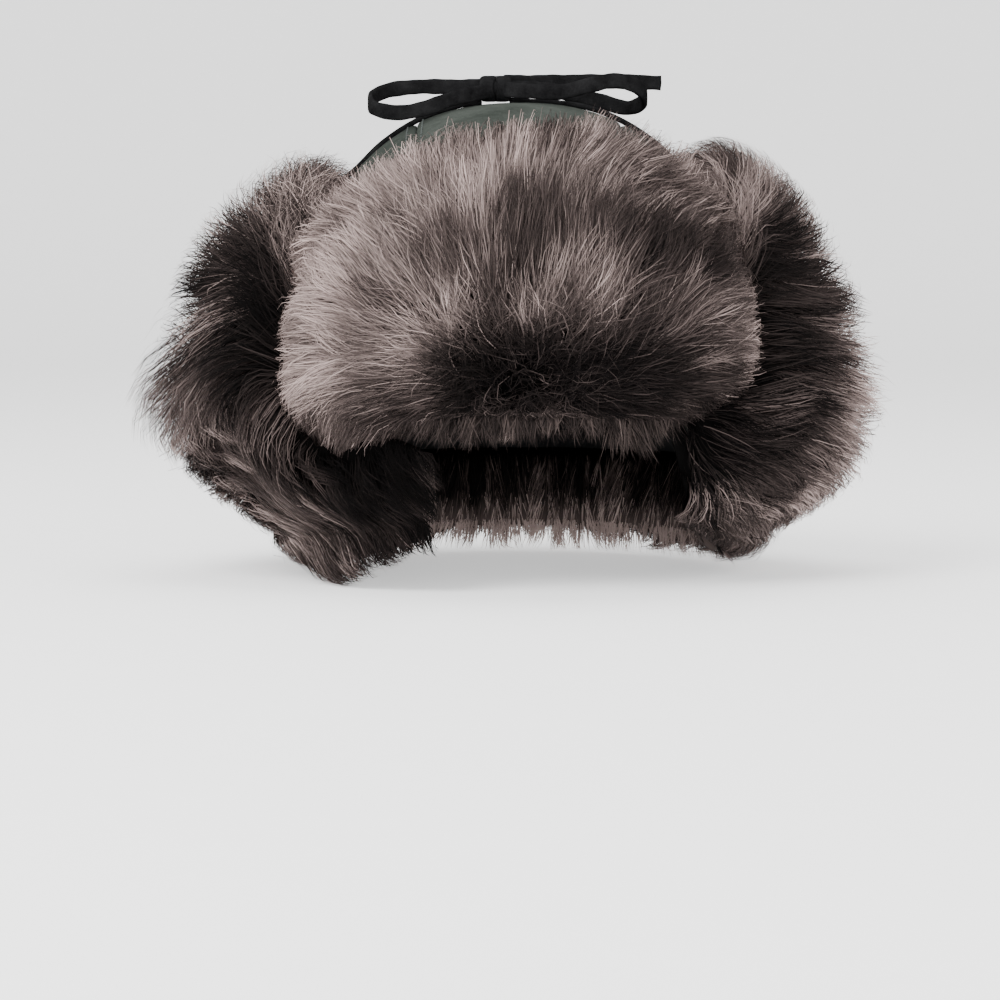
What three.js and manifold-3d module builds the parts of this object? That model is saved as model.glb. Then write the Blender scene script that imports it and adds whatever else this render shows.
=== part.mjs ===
// A fur aviator hat with its flaps turned up and tied over the crown.
// The hat stands on its ear flaps' fur. +Z is up, the front is towards -Y, and sizes are in millimetres.
// Angles run round the hat's upright axis: 0 at the front, 90 at the wearer's left, which is +X, and 180 at the back.
import * as THREE from "three";
import { mergeVertices } from "three/addons/utils/BufferGeometryUtils.js";
import Module from "manifold-3d";

const wasm = await Module();
wasm.setup();

// Driving sizes
const GAP = 0.4; // between pieces that touch
const CROWN = { halfWidth: 92, halfLength: 108, top: 201, shoulder: 86, power: 2.4, wall: 1.8 };
const DOME = { steps: 28, rings: 6 }; // facets of the crown, the lining and all that is cut to fit them
const STRIP_WIDTH = 88; // the crown's middle strip, from seam to seam
const RIM = { front: 70, side: 18, levelTo: 44, dropTo: 68 }; // heights, and the angles between which the rim drops
const LINING_WALL = 2.4;
const SKIN = 1.6; // the flaps' leather
const TEMPLE = 57; // the angle at which the front flap's fur meets an ear flap's
const NAPE = 131.5; // the angle at which an ear flap's fur meets the neck flap's
const LACE = { width: 6.4, thickness: 2.4 };
const KNOT = { x: -10, y: -6, z: 206.9, halfLength: 9, halfDepth: 6.5, halfHeight: 5.5 };
const FAR = 400; // beyond the whole hat
const FINE = 0.05; // edges shorter than this are closed up

const TAU = 2 * Math.PI;
const radians = THREE.MathUtils.degToRad;
const mix = THREE.MathUtils.lerp;

// Materials
const suede = new THREE.MeshStandardMaterial({ name: "suede", color: 0x333b37, roughness: 0.95, metalness: 0 });
const skinSuede = new THREE.MeshStandardMaterial({ name: "skin", color: 0x2e3532, roughness: 0.95, metalness: 0 });
const lining = new THREE.MeshStandardMaterial({ name: "lining", color: 0x0b0c0e, roughness: 0.9, metalness: 0 });
const fur = new THREE.MeshStandardMaterial({ name: "fur", color: 0x6a5d58, roughness: 0.85, metalness: 0 });
const rimPile = new THREE.MeshStandardMaterial({ name: "rim_fur", color: 0x5a4b46, roughness: 0.85, metalness: 0 });
const laceBlack = new THREE.MeshStandardMaterial({ name: "lace", color: 0x131313, roughness: 0.9, metalness: 0 });

// Closed mesh to solid and back. A mesh that was made inside out is turned.

function solidOf(geometry) {
  const bare = new THREE.BufferGeometry();
  bare.setAttribute("position", geometry.getAttribute("position"));
  bare.setIndex(geometry.index);
  const merged = mergeVertices(bare, 1e-4);
  const corners = Array.from(merged.index.array);
  const place = (i) => new THREE.Vector3().fromBufferAttribute(merged.attributes.position, i);
  const kept = [];
  let volume = 0;
  for (let i = 0; i < corners.length; i += 3) {
    const [a, b, c] = corners.slice(i, i + 3);
    if (a === b || b === c || c === a) continue;
    kept.push([a, b, c]);
    volume += place(a).dot(place(b).cross(place(c))) / 6;
  }
  const faces = volume < 0 ? kept.map(([a, b, c]) => [a, c, b]) : kept;
  return new wasm.Manifold(
    new wasm.Mesh({
      numProp: 3,
      vertProperties: new Float32Array(merged.attributes.position.array),
      triVerts: new Uint32Array(faces.flat()),
    }),
  );
}

function meshOf(name, solid, material) {
  const { vertProperties, triVerts, numProp } = solid.simplify(FINE).getMesh();
  const places = new Float32Array((vertProperties.length / numProp) * 3);
  for (let i = 0; i < places.length / 3; i += 1) {
    places.set(vertProperties.subarray(i * numProp, i * numProp + 3), i * 3);
  }
  const geometry = new THREE.BufferGeometry();
  geometry.setAttribute("position", new THREE.BufferAttribute(places, 3));
  geometry.setIndex(new THREE.BufferAttribute(new Uint32Array(triVerts), 1));
  geometry.computeVertexNormals();
  const mesh = new THREE.Mesh(geometry, material);
  mesh.name = name;
  return mesh;
}

function boxSolid(low, high) {
  const size = new THREE.Vector3().subVectors(high, low);
  const box = new THREE.BoxGeometry(size.x, size.y, size.z);
  box.translate((low.x + high.x) / 2, (low.y + high.y) / 2, (low.z + high.z) / 2);
  return solidOf(box);
}

// Joins a row of closed sections, each a loop of points, into one solid. A ring's last section meets its first. Each
// four-sided face is split along its shorter diagonal, so that both sides of a thin wall are split alike.
function loft(sections, ring = false) {
  const around = sections[0].length;
  const places = sections.flat().flatMap((p) => [p.x, p.y, p.z]);
  const corners = [];
  const spans = ring ? sections.length : sections.length - 1;
  for (let i = 0; i < spans; i += 1) {
    const onward = (i + 1) % sections.length;
    const here = i * around;
    const next = onward * around;
    for (let j = 0; j < around; j += 1) {
      const k = (j + 1) % around;
      const straight = sections[i][j].distanceTo(sections[onward][k]);
      const crossed = sections[i][k].distanceTo(sections[onward][j]);
      if (straight < crossed) corners.push(here + j, next + j, next + k, here + j, next + k, here + k);
      else corners.push(here + j, next + j, here + k, here + k, next + j, next + k);
    }
  }
  if (!ring) {
    for (const [at, flip] of [[0, false], [(sections.length - 1) * around, true]]) {
      const loop = sections[flip ? sections.length - 1 : 0];
      const middle = new THREE.Vector3();
      loop.forEach((p) => middle.addScaledVector(p, 1 / around));
      const centre = places.push(middle.x, middle.y, middle.z) / 3 - 1;
      for (let j = 0; j < around; j += 1) {
        const k = (j + 1) % around;
        corners.push(centre, at + (flip ? k : j), at + (flip ? j : k));
      }
    }
  }
  const geometry = new THREE.BufferGeometry();
  geometry.setAttribute("position", new THREE.Float32BufferAttribute(places, 3));
  geometry.setIndex(corners);
  return solidOf(geometry);
}

// A repeatable number from 0 to 1 for each pair of whole numbers.
function scatter(i, j) {
  const wave = Math.sin(i * 12.9898 + j * 78.233) * 43758.5453;
  return wave - Math.floor(wave);
}

// A named column of a table at a place along its first column, eased from row to row.
function column(rows, place, name) {
  const [key] = Object.keys(rows[0]);
  const last = rows.length - 1;
  if (place <= rows[0][key]) return rows[0][name];
  if (place >= rows[last][key]) return rows[last][name];
  const i = rows.findIndex((row) => row[key] > place) - 1;
  const slope = (k) => {
    const before = rows[Math.max(k - 1, 0)];
    const after = rows[Math.min(k + 1, last)];
    return (after[name] - before[name]) / (after[key] - before[key]);
  };
  const span = rows[i + 1][key] - rows[i][key];
  const share = (place - rows[i][key]) / span;
  const s2 = share * share;
  const s3 = s2 * share;
  return (
    (2 * s3 - 3 * s2 + 1) * rows[i][name] +
    (s3 - 2 * s2 + share) * span * slope(i) +
    (3 * s2 - 2 * s3) * rows[i + 1][name] +
    (s3 - s2) * span * slope(i + 1)
  );
}

// The crown: an oval drum that closes over the shoulder as a dome

function crownPoint(angle, height, standoff = 0) {
  const a = radians(angle);
  const rise = THREE.MathUtils.clamp((height - CROWN.shoulder) / (CROWN.top - CROWN.shoulder), 0, 0.9999);
  const inset = (1 - rise ** CROWN.power) ** (1 / CROWN.power);
  const point = new THREE.Vector3(
    CROWN.halfWidth * Math.sin(a) * inset,
    -CROWN.halfLength * Math.cos(a) * inset,
    height,
  );
  return point.addScaledVector(crownNormal(a, rise, inset), standoff);
}

function crownNormal(a, rise, inset) {
  const flare = inset ** (CROWN.power - 1);
  return new THREE.Vector3(
    (flare * Math.sin(a)) / CROWN.halfWidth,
    (-flare * Math.cos(a)) / CROWN.halfLength,
    rise ** (CROWN.power - 1) / (CROWN.top - CROWN.shoulder),
  ).normalize();
}

// The crown's height where the dome has turned this share of the way from its shoulder to its top.
function domeHeight(share) {
  return CROWN.shoulder + (CROWN.top - CROWN.shoulder) * Math.sin((share * Math.PI) / 2) ** (2 / CROWN.power);
}

// The height of the opening's edge: level over the brow, and dropping at the temples.
function rimHeight(angle) {
  const away = Math.abs(((angle + 180) % 360) - 180);
  return mix(RIM.front, RIM.side, THREE.MathUtils.smoothstep(away, RIM.levelTo, RIM.dropTo));
}

// The angles of the dome's sections, the rim's height at each, and the heights of the points from there to the top.
function domeSections(drop) {
  return Array.from({ length: DOME.steps }, (_, i) => {
    const angle = (i * 360) / DOME.steps - 180;
    const rim = rimHeight(angle) - drop;
    const heights = [rim, mix(rim, CROWN.shoulder, 0.5), CROWN.shoulder];
    for (let r = 1; r <= DOME.rings; r += 1) heights.push(domeHeight(r / DOME.rings));
    return { angle, rim, heights };
  });
}

// The points of a dome's face at one angle, from the rim up to the middle of the top.
function domeFace({ angle, heights }, standoff) {
  const line = heights.map((height) => crownPoint(angle, height, standoff));
  line[line.length - 1].set(0, 0, CROWN.top + standoff);
  return line;
}

// A hollow dome between two standoffs from the crown's outer face. Its rim hangs lower by drop.
function domeShell(outer, inner, drop = 0) {
  const sections = domeSections(drop).map((at) => [...domeFace(at, outer), ...domeFace(at, inner).reverse()]);
  return loft(sections, true);
}

// The room of the crown and the lining with a gap all round, without the hollow below the lining's edge.
function crownRoom() {
  const inside = CROWN.wall + GAP + LINING_WALL;
  const sections = domeSections(GAP).map((at) => [
    ...domeFace(at, GAP),
    new THREE.Vector3(0, 0, RIM.front),
    crownPoint(at.angle, at.rim, -inside - GAP),
  ]);
  return loft(sections, true);
}

// The crown's three panels, cut from one dome along two seams that run from front to back.
function crownPanels() {
  const dome = domeShell(0, -CROWN.wall);
  const seam = STRIP_WIDTH / 2;
  const between = (low, high) => boxSolid(new THREE.Vector3(low, -FAR, -FAR), new THREE.Vector3(high, FAR, FAR));
  return [
    meshOf("crown_center", dome.intersect(between(-seam + GAP / 2, seam - GAP / 2)), suede),
    meshOf("crown_left", dome.intersect(between(seam + GAP / 2, FAR)), suede),
    meshOf("crown_right", dome.intersect(between(-FAR, -seam - GAP / 2)), suede),
  ];
}

function crownLining() {
  const outer = -CROWN.wall - GAP;
  return meshOf("crown_lining", domeShell(outer, outer - LINING_WALL), lining);
}

// Flaps. Each row gives, at one angle round the hat, the fold's height, the leather's top edge, how far the leather
// stands off the crown at most, the fur's depth there, and how far the fur hangs below the fold.
const FRONT_ROWS = [
  { angle: -57, fold: 57, top: 126, standoff: 9, pile: 19, hang: 10 },
  { angle: -46, fold: 62, top: 143, standoff: 10, pile: 21, hang: 18 },
  { angle: -36, fold: 68, top: 151, standoff: 10, pile: 22, hang: 12 },
  { angle: -18, fold: 73, top: 160, standoff: 9, pile: 23, hang: 4 },
  { angle: 0, fold: 74, top: 164, standoff: 9, pile: 23, hang: 3 },
  { angle: 18, fold: 73, top: 165, standoff: 9, pile: 23, hang: 3 },
  { angle: 36, fold: 72, top: 158, standoff: 10, pile: 22, hang: 4 },
  { angle: 46, fold: 72, top: 148, standoff: 10, pile: 21, hang: 5 },
  { angle: 57, fold: 72, top: 132, standoff: 9, pile: 19, hang: 6 },
];
const LEFT_EAR_ROWS = [
  { angle: 43, fold: 30, top: 66, standoff: 4, pile: 15, hang: 20 },
  { angle: 52, fold: 24, top: 108, standoff: 8, pile: 21, hang: 20 },
  { angle: 60, fold: 20, top: 150, standoff: 12, pile: 26, hang: 24 },
  { angle: 70, fold: 18, top: 160, standoff: 17, pile: 32, hang: 24 },
  { angle: 82, fold: 17, top: 154, standoff: 20, pile: 36, hang: 24 },
  { angle: 94, fold: 17, top: 149, standoff: 21, pile: 37, hang: 24 },
  { angle: 106, fold: 17, top: 136, standoff: 19, pile: 35, hang: 24 },
  { angle: 118, fold: 18, top: 116, standoff: 15, pile: 32, hang: 20 },
  { angle: 131.5, fold: 19, top: 103, standoff: 11, pile: 28, hang: 15 },
];
const RIGHT_EAR_ROWS = [
  { angle: -131.5, fold: 19, top: 103, standoff: 11, pile: 28, hang: 15 },
  { angle: -118, fold: 18, top: 116, standoff: 15, pile: 33, hang: 20 },
  { angle: -106, fold: 17, top: 134, standoff: 19, pile: 37, hang: 24 },
  { angle: -94, fold: 17, top: 146, standoff: 21, pile: 39, hang: 24 },
  { angle: -82, fold: 17, top: 154, standoff: 20, pile: 38, hang: 24 },
  { angle: -70, fold: 18, top: 153, standoff: 17, pile: 34, hang: 24 },
  { angle: -60, fold: 20, top: 136, standoff: 12, pile: 27, hang: 20 },
  { angle: -50, fold: 22, top: 78, standoff: 6, pile: 21, hang: 18 },
  { angle: -36, fold: 24, top: 62, standoff: 3, pile: 15, hang: 16 },
  { angle: -23, fold: 26, top: 56, standoff: 2, pile: 9, hang: 14 },
];
const NECK_ROWS = [
  { angle: 131.5, fold: 19, top: 103, standoff: 11, pile: 28, hang: 15 },
  { angle: 150, fold: 21, top: 94, standoff: 10, pile: 26, hang: 15 },
  { angle: 180, fold: 22, top: 90, standoff: 9, pile: 25, hang: 15 },
  { angle: 210, fold: 21, top: 94, standoff: 10, pile: 26, hang: 15 },
  { angle: 228.5, fold: 19, top: 103, standoff: 11, pile: 28, hang: 15 },
];
// Shares of a row's standoff and pile, by the share of the way from the fold to the top edge.
const BROW_PROFILE = [
  { share: 0, stand: 0, depth: 0.5 },
  { share: 0.12, stand: 0.6, depth: 0.85 },
  { share: 0.3, stand: 0.9, depth: 1 },
  { share: 0.6, stand: 1, depth: 0.96 },
  { share: 0.85, stand: 0.85, depth: 0.84 },
  { share: 1, stand: 0.7, depth: 0.7 },
];
const EAR_PROFILE = [
  { share: 0, stand: 0, depth: 0.36 },
  { share: 0.1, stand: 0.55, depth: 0.62 },
  { share: 0.2, stand: 0.86, depth: 0.84 },
  { share: 0.32, stand: 1, depth: 0.98 },
  { share: 0.45, stand: 0.98, depth: 1 },
  { share: 0.6, stand: 0.86, depth: 0.92 },
  { share: 0.75, stand: 0.72, depth: 0.8 },
  { share: 0.92, stand: 0.5, depth: 0.68 },
  { share: 1, stand: 0.4, depth: 0.58 },
];
// The lower edge of the front flap's fur, seen from the front. Below it, the ear flaps' fur runs on to the cheeks.
const BROW_EDGE = [
  { x: -120, z: 48 },
  { x: -92, z: 50 },
  { x: -73, z: 41 },
  { x: -48, z: 56 },
  { x: -28, z: 65 },
  { x: 0, z: 69 },
  { x: 60, z: 65 },
  { x: 92, z: 66 },
  { x: 120, z: 74 },
];

// The front flap's fur parts at a spot low on the flap and lies away from it on all sides.
const PARTING = { angle: 4, share: 0.14 };
function frontFlow(angle, share) {
  const round = (angle - PARTING.angle) / 26;
  const up = (share - PARTING.share) * 3;
  return { round, up: share < 0.16 ? up - 0.4 : up + 0.3 };
}

// An ear flap's fur lies back from the flap's front edge: up near its tip, and down near its fold.
function earFlow(angle, share) {
  const forward = Math.abs(angle) < TEMPLE + 6 ? -0.5 : 0.7;
  return { round: Math.sign(angle) * forward, up: (share - 0.36) * 2.8 };
}

function neckFlow(angle, share) {
  return { round: (angle - 180) / 60, up: (share - 0.3) * 3 };
}

const FRONT = { rows: FRONT_ROWS, profile: BROW_PROFILE, flow: frontFlow, steps: 10, across: 6, up: 4, endsOver: 8 };
const LEFT_EAR = { rows: LEFT_EAR_ROWS, profile: EAR_PROFILE, flow: earFlow, steps: 10, across: 4, up: 4, endsOver: 8 };
const RIGHT_EAR = { ...LEFT_EAR, rows: RIGHT_EAR_ROWS, steps: 11, across: 5 };
const NECK = { rows: NECK_ROWS, profile: BROW_PROFILE, flow: neckFlow, steps: 8, across: 5, up: 3, endsOver: 0 };
const LOCK = { length: 48, width: 36, thickness: 11, rise: 3 };

// A flap's row values at an angle. The pile dwindles towards the flap's two ends, which makes them round.
function flapRow({ rows, endsOver }, angle) {
  const value = (name) => column(rows, angle, name);
  const inward = Math.min(angle - rows[0].angle, rows[rows.length - 1].angle - angle);
  const short = endsOver > 0 ? THREE.MathUtils.clamp(1 - inward / endsOver, 0, 1) : 0;
  const swell = mix(0.4, 1, Math.sqrt(1 - short ** 2));
  return {
    fold: value("fold"),
    top: value("top"),
    standoff: value("standoff"),
    pile: value("pile") * swell,
    hang: value("hang"),
  };
}

// A point of a flap at an angle and a share of its height: on the leather's inner face when pile and lift are 0, and on
// the fur's outer face when pile is 1. lift is a distance outwards.
function flapPoint(flap, angle, share, pile, lift = 0) {
  const row = flapRow(flap, angle);
  const stand = row.standoff * column(flap.profile, share, "stand");
  const depth = pile * row.pile * column(flap.profile, share, "depth");
  return crownPoint(angle, mix(row.fold, row.top, share), GAP + stand + depth + lift);
}

function flapAngles({ rows, steps }) {
  const first = rows[0].angle;
  const last = rows[rows.length - 1].angle;
  return Array.from({ length: steps + 1 }, (_, i) => mix(first, last, i / steps));
}

// The leather of a flap, from the crown's edge up along the crown. slack thickens it on all sides, for a cutter, which
// also reaches a degree past the flap's ends.
const SKIN_SHARES = [0, 0.12, 0.32, 0.65, 1];
function flapSkin(flap, slack = 0) {
  const grow = new THREE.Vector3(0, 0, slack);
  const angles = flapAngles(flap);
  const reaching = slack > 0 ? [angles[0] - 1, ...angles, angles[angles.length - 1] + 1] : angles;
  return loft(
    reaching.map((angle) => {
      const outer = SKIN_SHARES.map((share) => flapPoint(flap, angle, share, 0, SKIN + slack));
      const inner = SKIN_SHARES.map((share) => flapPoint(flap, angle, share, 0, -slack));
      for (const face of [outer, inner]) {
        face[0].sub(grow);
        face[SKIN_SHARES.length - 1].add(grow);
      }
      return [...outer, ...inner.reverse()];
    }),
  );
}

// The body of a flap's fur: a thick pad over the leather that rounds over its top edge and hangs below its fold. Its
// inner side starts halfway through the leather, which is then cut away.
const PAD_SHARES = [0, 0.12, 0.26, 0.46, 0.7, 0.9, 1];
const TOP_ROUNDING = 0.42; // of the pile, past the leather's top edge
function furPad(flap) {
  const inner = 0.5 * SKIN;
  return loft(
    flapAngles(flap).map((angle) => {
      const { fold, hang, pile } = flapRow(flap, angle);
      const loop = PAD_SHARES.map((share) => flapPoint(flap, angle, share, 1, SKIN));
      const edge = flapPoint(flap, angle, 1, 0.5, SKIN);
      const below = flapPoint(flap, angle, 0.9, 0.5, SKIN);
      loop.push(edge.clone().add(edge.clone().sub(below).setLength(TOP_ROUNDING * pile)));
      for (const share of [1, 0.5, 0]) loop.push(flapPoint(flap, angle, share, 0, inner));
      loop.push(crownPoint(angle, fold, 1).setZ(fold - 0.5 * hang));
      loop.push(flapPoint(flap, angle, 0, 0.3, SKIN).setZ(fold - hang));
      loop.push(flapPoint(flap, angle, 0, 0.8, SKIN).setZ(fold - 0.55 * hang));
      return loop;
    }),
  );
}

// One lock of fur: a flat, pointed tuft that lies along the pad with its root sunk in it.
function lock({ root, along, out, length, width, thickness, rise }) {
  const side = new THREE.Vector3().crossVectors(out, along).normalize();
  const rings = [
    { at: 0, lift: -5, wide: 0.6, thick: 0.5 },
    { at: 0.5, lift: 0, wide: 1, thick: 1 },
    { at: 1, lift: rise, wide: 0.04, thick: 0.06 },
  ];
  const sections = rings.map(({ at, lift, wide, thick }) => {
    const middle = root.clone().addScaledVector(along, (at - 0.3) * length).addScaledVector(out, lift);
    return [0, 1, 2, 3].map((k) => {
      const turn = (k / 4) * TAU;
      return middle
        .clone()
        .addScaledVector(side, (Math.cos(turn) * width * wide) / 2)
        .addScaledVector(out, (Math.sin(turn) * thickness * thick) / 2);
    });
  });
  return loft(sections);
}

// Lays locks in staggered rows over a pad. The flap's flow says how the fur lies, as steps round and up the flap.
function furLocks(flap) {
  const { rows, across, up, flow } = flap;
  const first = rows[0].angle;
  const last = rows[rows.length - 1].angle;
  const locks = [];
  for (let j = 0; j < up; j += 1) {
    for (let i = 0; i < across; i += 1) {
      const nudge = 0.3 + 0.4 * (j % 2) + 0.3 * (scatter(i, j) - 0.5);
      const angle = mix(first, last, (i + nudge) / across);
      const share = (j + 0.5 + 0.3 * (scatter(j, i) - 0.5)) / up;
      const on = (a, s) => flapPoint(flap, a, s, 1, SKIN + GAP);
      const root = on(angle, share);
      const round = on(angle + 1, share).sub(root).normalize();
      const upward = on(angle, share + 0.02).sub(root).normalize();
      const out = new THREE.Vector3().crossVectors(round, upward).normalize();
      const way = flow(angle, share);
      const along = round.multiplyScalar(way.round).addScaledVector(upward, way.up).normalize();
      const size = 0.85 + 0.3 * scatter(i + 7, j + 3);
      const { length, width, thickness, rise } = LOCK;
      locks.push(lock({ root, along, out, length: length * size, width: width * size, thickness, rise }));
    }
  }
  return locks;
}

const union = (solids) => wasm.Manifold.union(solids);

// The space outside the crown between two angles, from far below the hat to far above it.
function sector(from, to) {
  const foot = (angle, reach) => {
    const point = crownPoint(angle, CROWN.shoulder, reach);
    return new THREE.Vector2(point.x, point.y);
  };
  const outline = [foot((from + to) / 2, -CROWN.halfWidth), foot(from, 0), foot(from, FAR)];
  outline.push(foot((from + to) / 2, 2 * FAR), foot(to, FAR), foot(to, 0));
  const room = new THREE.ExtrudeGeometry(new THREE.Shape(outline), { depth: 2 * FAR, bevelEnabled: false });
  room.translate(0, 0, -FAR);
  return solidOf(room);
}

// The space in front of the crown that lies below the front flap's fur. lift raises its upper side.
function cheekRoom(lift) {
  const outline = new THREE.Shape([
    new THREE.Vector2(-FAR, -FAR),
    new THREE.Vector2(FAR, -FAR),
    new THREE.Vector2(FAR, BROW_EDGE[BROW_EDGE.length - 1].z + lift),
    ...BROW_EDGE.map(({ x, z }) => new THREE.Vector2(x, z + lift)).reverse(),
    new THREE.Vector2(-FAR, BROW_EDGE[0].z + lift),
  ]);
  const room = new THREE.ExtrudeGeometry(outline, { depth: FAR, bevelEnabled: false });
  room.rotateX(Math.PI / 2);
  return solidOf(room);
}

// The largest body of a solid that a cut may have left in several.
function largest(solid) {
  return solid.decompose().reduce((best, body) => (body.volume() > best.volume() ? body : best));
}

// The fur of a flap, cut clear of the leather, the crown and whatever else is in its way.
function flapFur(flap, room, inTheWay) {
  const whole = union([furPad(flap), ...furLocks(flap)]).intersect(room);
  return largest([flapSkin(flap, GAP), ...inTheWay].reduce((rest, other) => rest.subtract(other), whole));
}

// The fur round the inner edge of the opening: a soft ring that hangs below the rim.
const RING = { fromOutside: 1, frontBand: 20, backBand: 30, drop: 8, depth: 9 };
function rimFur() {
  const inside = CROWN.wall + GAP + LINING_WALL;
  const sections = [];
  const locks = [];
  for (let i = 0; i < DOME.steps; i += 1) {
    const angle = (i * 360) / DOME.steps - 180;
    const rim = rimHeight(angle);
    const at = (inward, height) => crownPoint(angle, CROWN.shoulder, -inward).setZ(height);
    const band = mix(RING.frontBand, RING.backBand, THREE.MathUtils.smoothstep(Math.abs(angle), 60, 120));
    sections.push([
      at(inside, rim + band),
      at(inside, rim),
      at(RING.fromOutside, rim),
      at(RING.fromOutside, rim - 0.6 * RING.drop),
      at(inside, rim - RING.drop),
      at(inside + 0.8 * RING.depth, rim - 0.4 * RING.drop),
      at(inside + RING.depth, rim + 0.4 * band),
      at(inside + 0.6 * RING.depth, rim + 0.85 * band),
    ]);
    const steep = Math.abs(angle) > RIM.levelTo && Math.abs(angle) < RIM.dropTo;
    if (i % 3 === 0 && !steep) {
      const root = at(inside + 2 + 3 * scatter(i, 1), rim - 0.5 * RING.drop);
      const out = at(inside + 1, rim).sub(at(inside, rim)).normalize();
      const along = new THREE.Vector3(0, 0, -1);
      locks.push(lock({ root, along, out, length: 15, width: 17, thickness: 7, rise: -1 }));
    }
  }
  const walls = domeShell(GAP, -inside - 2 * GAP, 2 * GAP);
  return largest(union([loft(sections, true), ...locks]).subtract(walls));
}

// Laces: a flat strip swept along a smooth line through a few points.
function strip(points, steps, slack = 0) {
  const half = LACE.width / 2 + slack;
  const thin = LACE.thickness / 2 + slack;
  const round = thin * 0.6;
  const outline = new THREE.Shape([
    new THREE.Vector2(-half, -thin + round),
    new THREE.Vector2(-half + round, -thin),
    new THREE.Vector2(half - round, -thin),
    new THREE.Vector2(half, -thin + round),
    new THREE.Vector2(half, thin - round),
    new THREE.Vector2(half - round, thin),
    new THREE.Vector2(-half + round, thin),
    new THREE.Vector2(-half, thin - round),
  ]);
  const path = new THREE.CatmullRomCurve3(points.map((p) => new THREE.Vector3(...p)));
  return solidOf(new THREE.ExtrudeGeometry(outline, { steps, extrudePath: path }));
}

// A point on top of the crown, that far above its surface.
function overCrown(x, y, above) {
  const reach = Math.min(1, Math.hypot(x / CROWN.halfWidth, y / CROWN.halfLength));
  const rise = (1 - reach ** CROWN.power) ** (1 / CROWN.power);
  return [x, y, CROWN.shoulder + (CROWN.top - CROWN.shoulder) * rise + above];
}

const TIE_STEPS = 8;

// The lace from an ear flap's tip, flat over the crown to the knot.
function tieRoute(flap) {
  const side = Math.sign(flap.rows[0].angle);
  const lie = LACE.thickness / 2 + 0.8;
  const tip = flapPoint(flap, side * 84, 1, 0, SKIN / 2);
  return [
    [tip.x, tip.y, tip.z + LACE.thickness / 2 + 2 * GAP],
    overCrown(side * 71, -8, lie + 4),
    overCrown(side * 58, -6, lie + 1),
    overCrown(side * 42, -5, lie + 0.6),
    overCrown(side * 26, -4, lie + 0.4),
    overCrown(KNOT.x + side * 6, -4, lie + 0.1),
  ];
}

// The bow's routes, each from the knot outwards. The lace stands on its edge.
const BOW = {
  bow_loop_left: [
    [KNOT.x + 4, KNOT.y - 5, 206.4], [5, -15, 205.4], [18, -19, 205], [30, -21, 207.8], [41, -20, 209.8],
    [50, -14, 207.4], [53.5, -5, 202.6], [47, 4, 199.2], [32, 5, 203], [14, 1.5, 206.6], [KNOT.x + 4, KNOT.y + 2, 207.4],
  ],
  bow_loop_right: [
    [KNOT.x - 4, KNOT.y + 1, 208], [-28, 2, 208.2], [-44, 4, 208.2], [-56, 2, 206.6], [-62.5, -5, 203],
    [-62, -14, 198.8], [-52, -20, 196.2], [-40, -20, 198], [-28, -16, 202.4], [KNOT.x - 4, KNOT.y - 4, 205.6],
  ],
  bow_tail_left: [[KNOT.x + 4, KNOT.y + 5, 209.9], [8, 9, 210.4], [26, 12, 210.8], [45, 8, 210.6], [61, 7, 210]],
  bow_tail_right: [[KNOT.x - 3, KNOT.y + 4, 207.6], [-21, 14, 206.4], [-29, 28, 203.4], [-36, 42, 198.8], [-41, 55, 192]],
};

function knotSolid(slack) {
  const ball = new THREE.SphereGeometry(1, 12, 8);
  ball.scale(KNOT.halfLength + slack, KNOT.halfDepth + slack, KNOT.halfHeight + slack);
  ball.rotateY(radians(-8));
  ball.translate(KNOT.x, KNOT.y, KNOT.z);
  return solidOf(ball);
}

function laces() {
  const knotRoom = knotSolid(GAP);
  const lace = (name, route, steps) => meshOf(name, strip(route, steps).subtract(knotRoom), laceBlack);
  return [
    meshOf("bow_knot", knotSolid(0), laceBlack),
    lace("tie_left", tieRoute(LEFT_EAR), TIE_STEPS),
    lace("tie_right", tieRoute(RIGHT_EAR), TIE_STEPS),
    ...Object.entries(BOW).map(([name, route]) => lace(name, route, Math.round(1.25 * route.length))),
  ];
}

function flaps() {
  const belowFloor = boxSolid(new THREE.Vector3(-FAR, -FAR, -FAR), new THREE.Vector3(FAR, FAR, 0));
  const cheeks = cheekRoom(0);
  const edge = 0.2; // degrees that each flap's room stays back from its borders
  const crown = crownRoom();
  const ties = union([LEFT_EAR, RIGHT_EAR].map((flap) => strip(tieRoute(flap), TIE_STEPS, GAP)));
  const rooms = {
    front: sector(-TEMPLE + edge, TEMPLE - edge),
    left: sector(TEMPLE + edge, NAPE - edge).add(cheeks),
    right: sector(-NAPE + edge, -TEMPLE - edge).add(cheeks),
    neck: sector(NAPE + edge, 360 - NAPE - edge),
  };
  const ring = rimFur();
  const meshes = [];
  for (const [name, flap, room, others] of [
    ["front_flap", FRONT, rooms.front, [cheekRoom(GAP)]],
    ["ear_flap_left", LEFT_EAR, rooms.left, [belowFloor, ties]],
    ["ear_flap_right", RIGHT_EAR, rooms.right, [belowFloor, ties]],
    ["neck_flap", NECK, rooms.neck, [belowFloor]],
  ]) {
    const furName = { front_flap: "front_flap_fur", neck_flap: "neck_fur" }[name] ?? name.replace("flap", "fur");
    meshes.push(meshOf(name, largest(flapSkin(flap).intersect(room)), skinSuede));
    meshes.push(meshOf(furName, flapFur(flap, room, [crown, ...others]), fur));
  }
  meshes.push(meshOf("rim_fur", ring, rimPile));
  return meshes;
}

const hat = new THREE.Group();
hat.add(...crownPanels(), crownLining(), ...flaps());

// The origin lies on the floor below the middle of the hat without its laces.
const middle = new THREE.Box3().setFromObject(hat).getCenter(new THREE.Vector3());
hat.position.set(-middle.x, -middle.y, 0);
hat.add(...laces());

export default hat;
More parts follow.
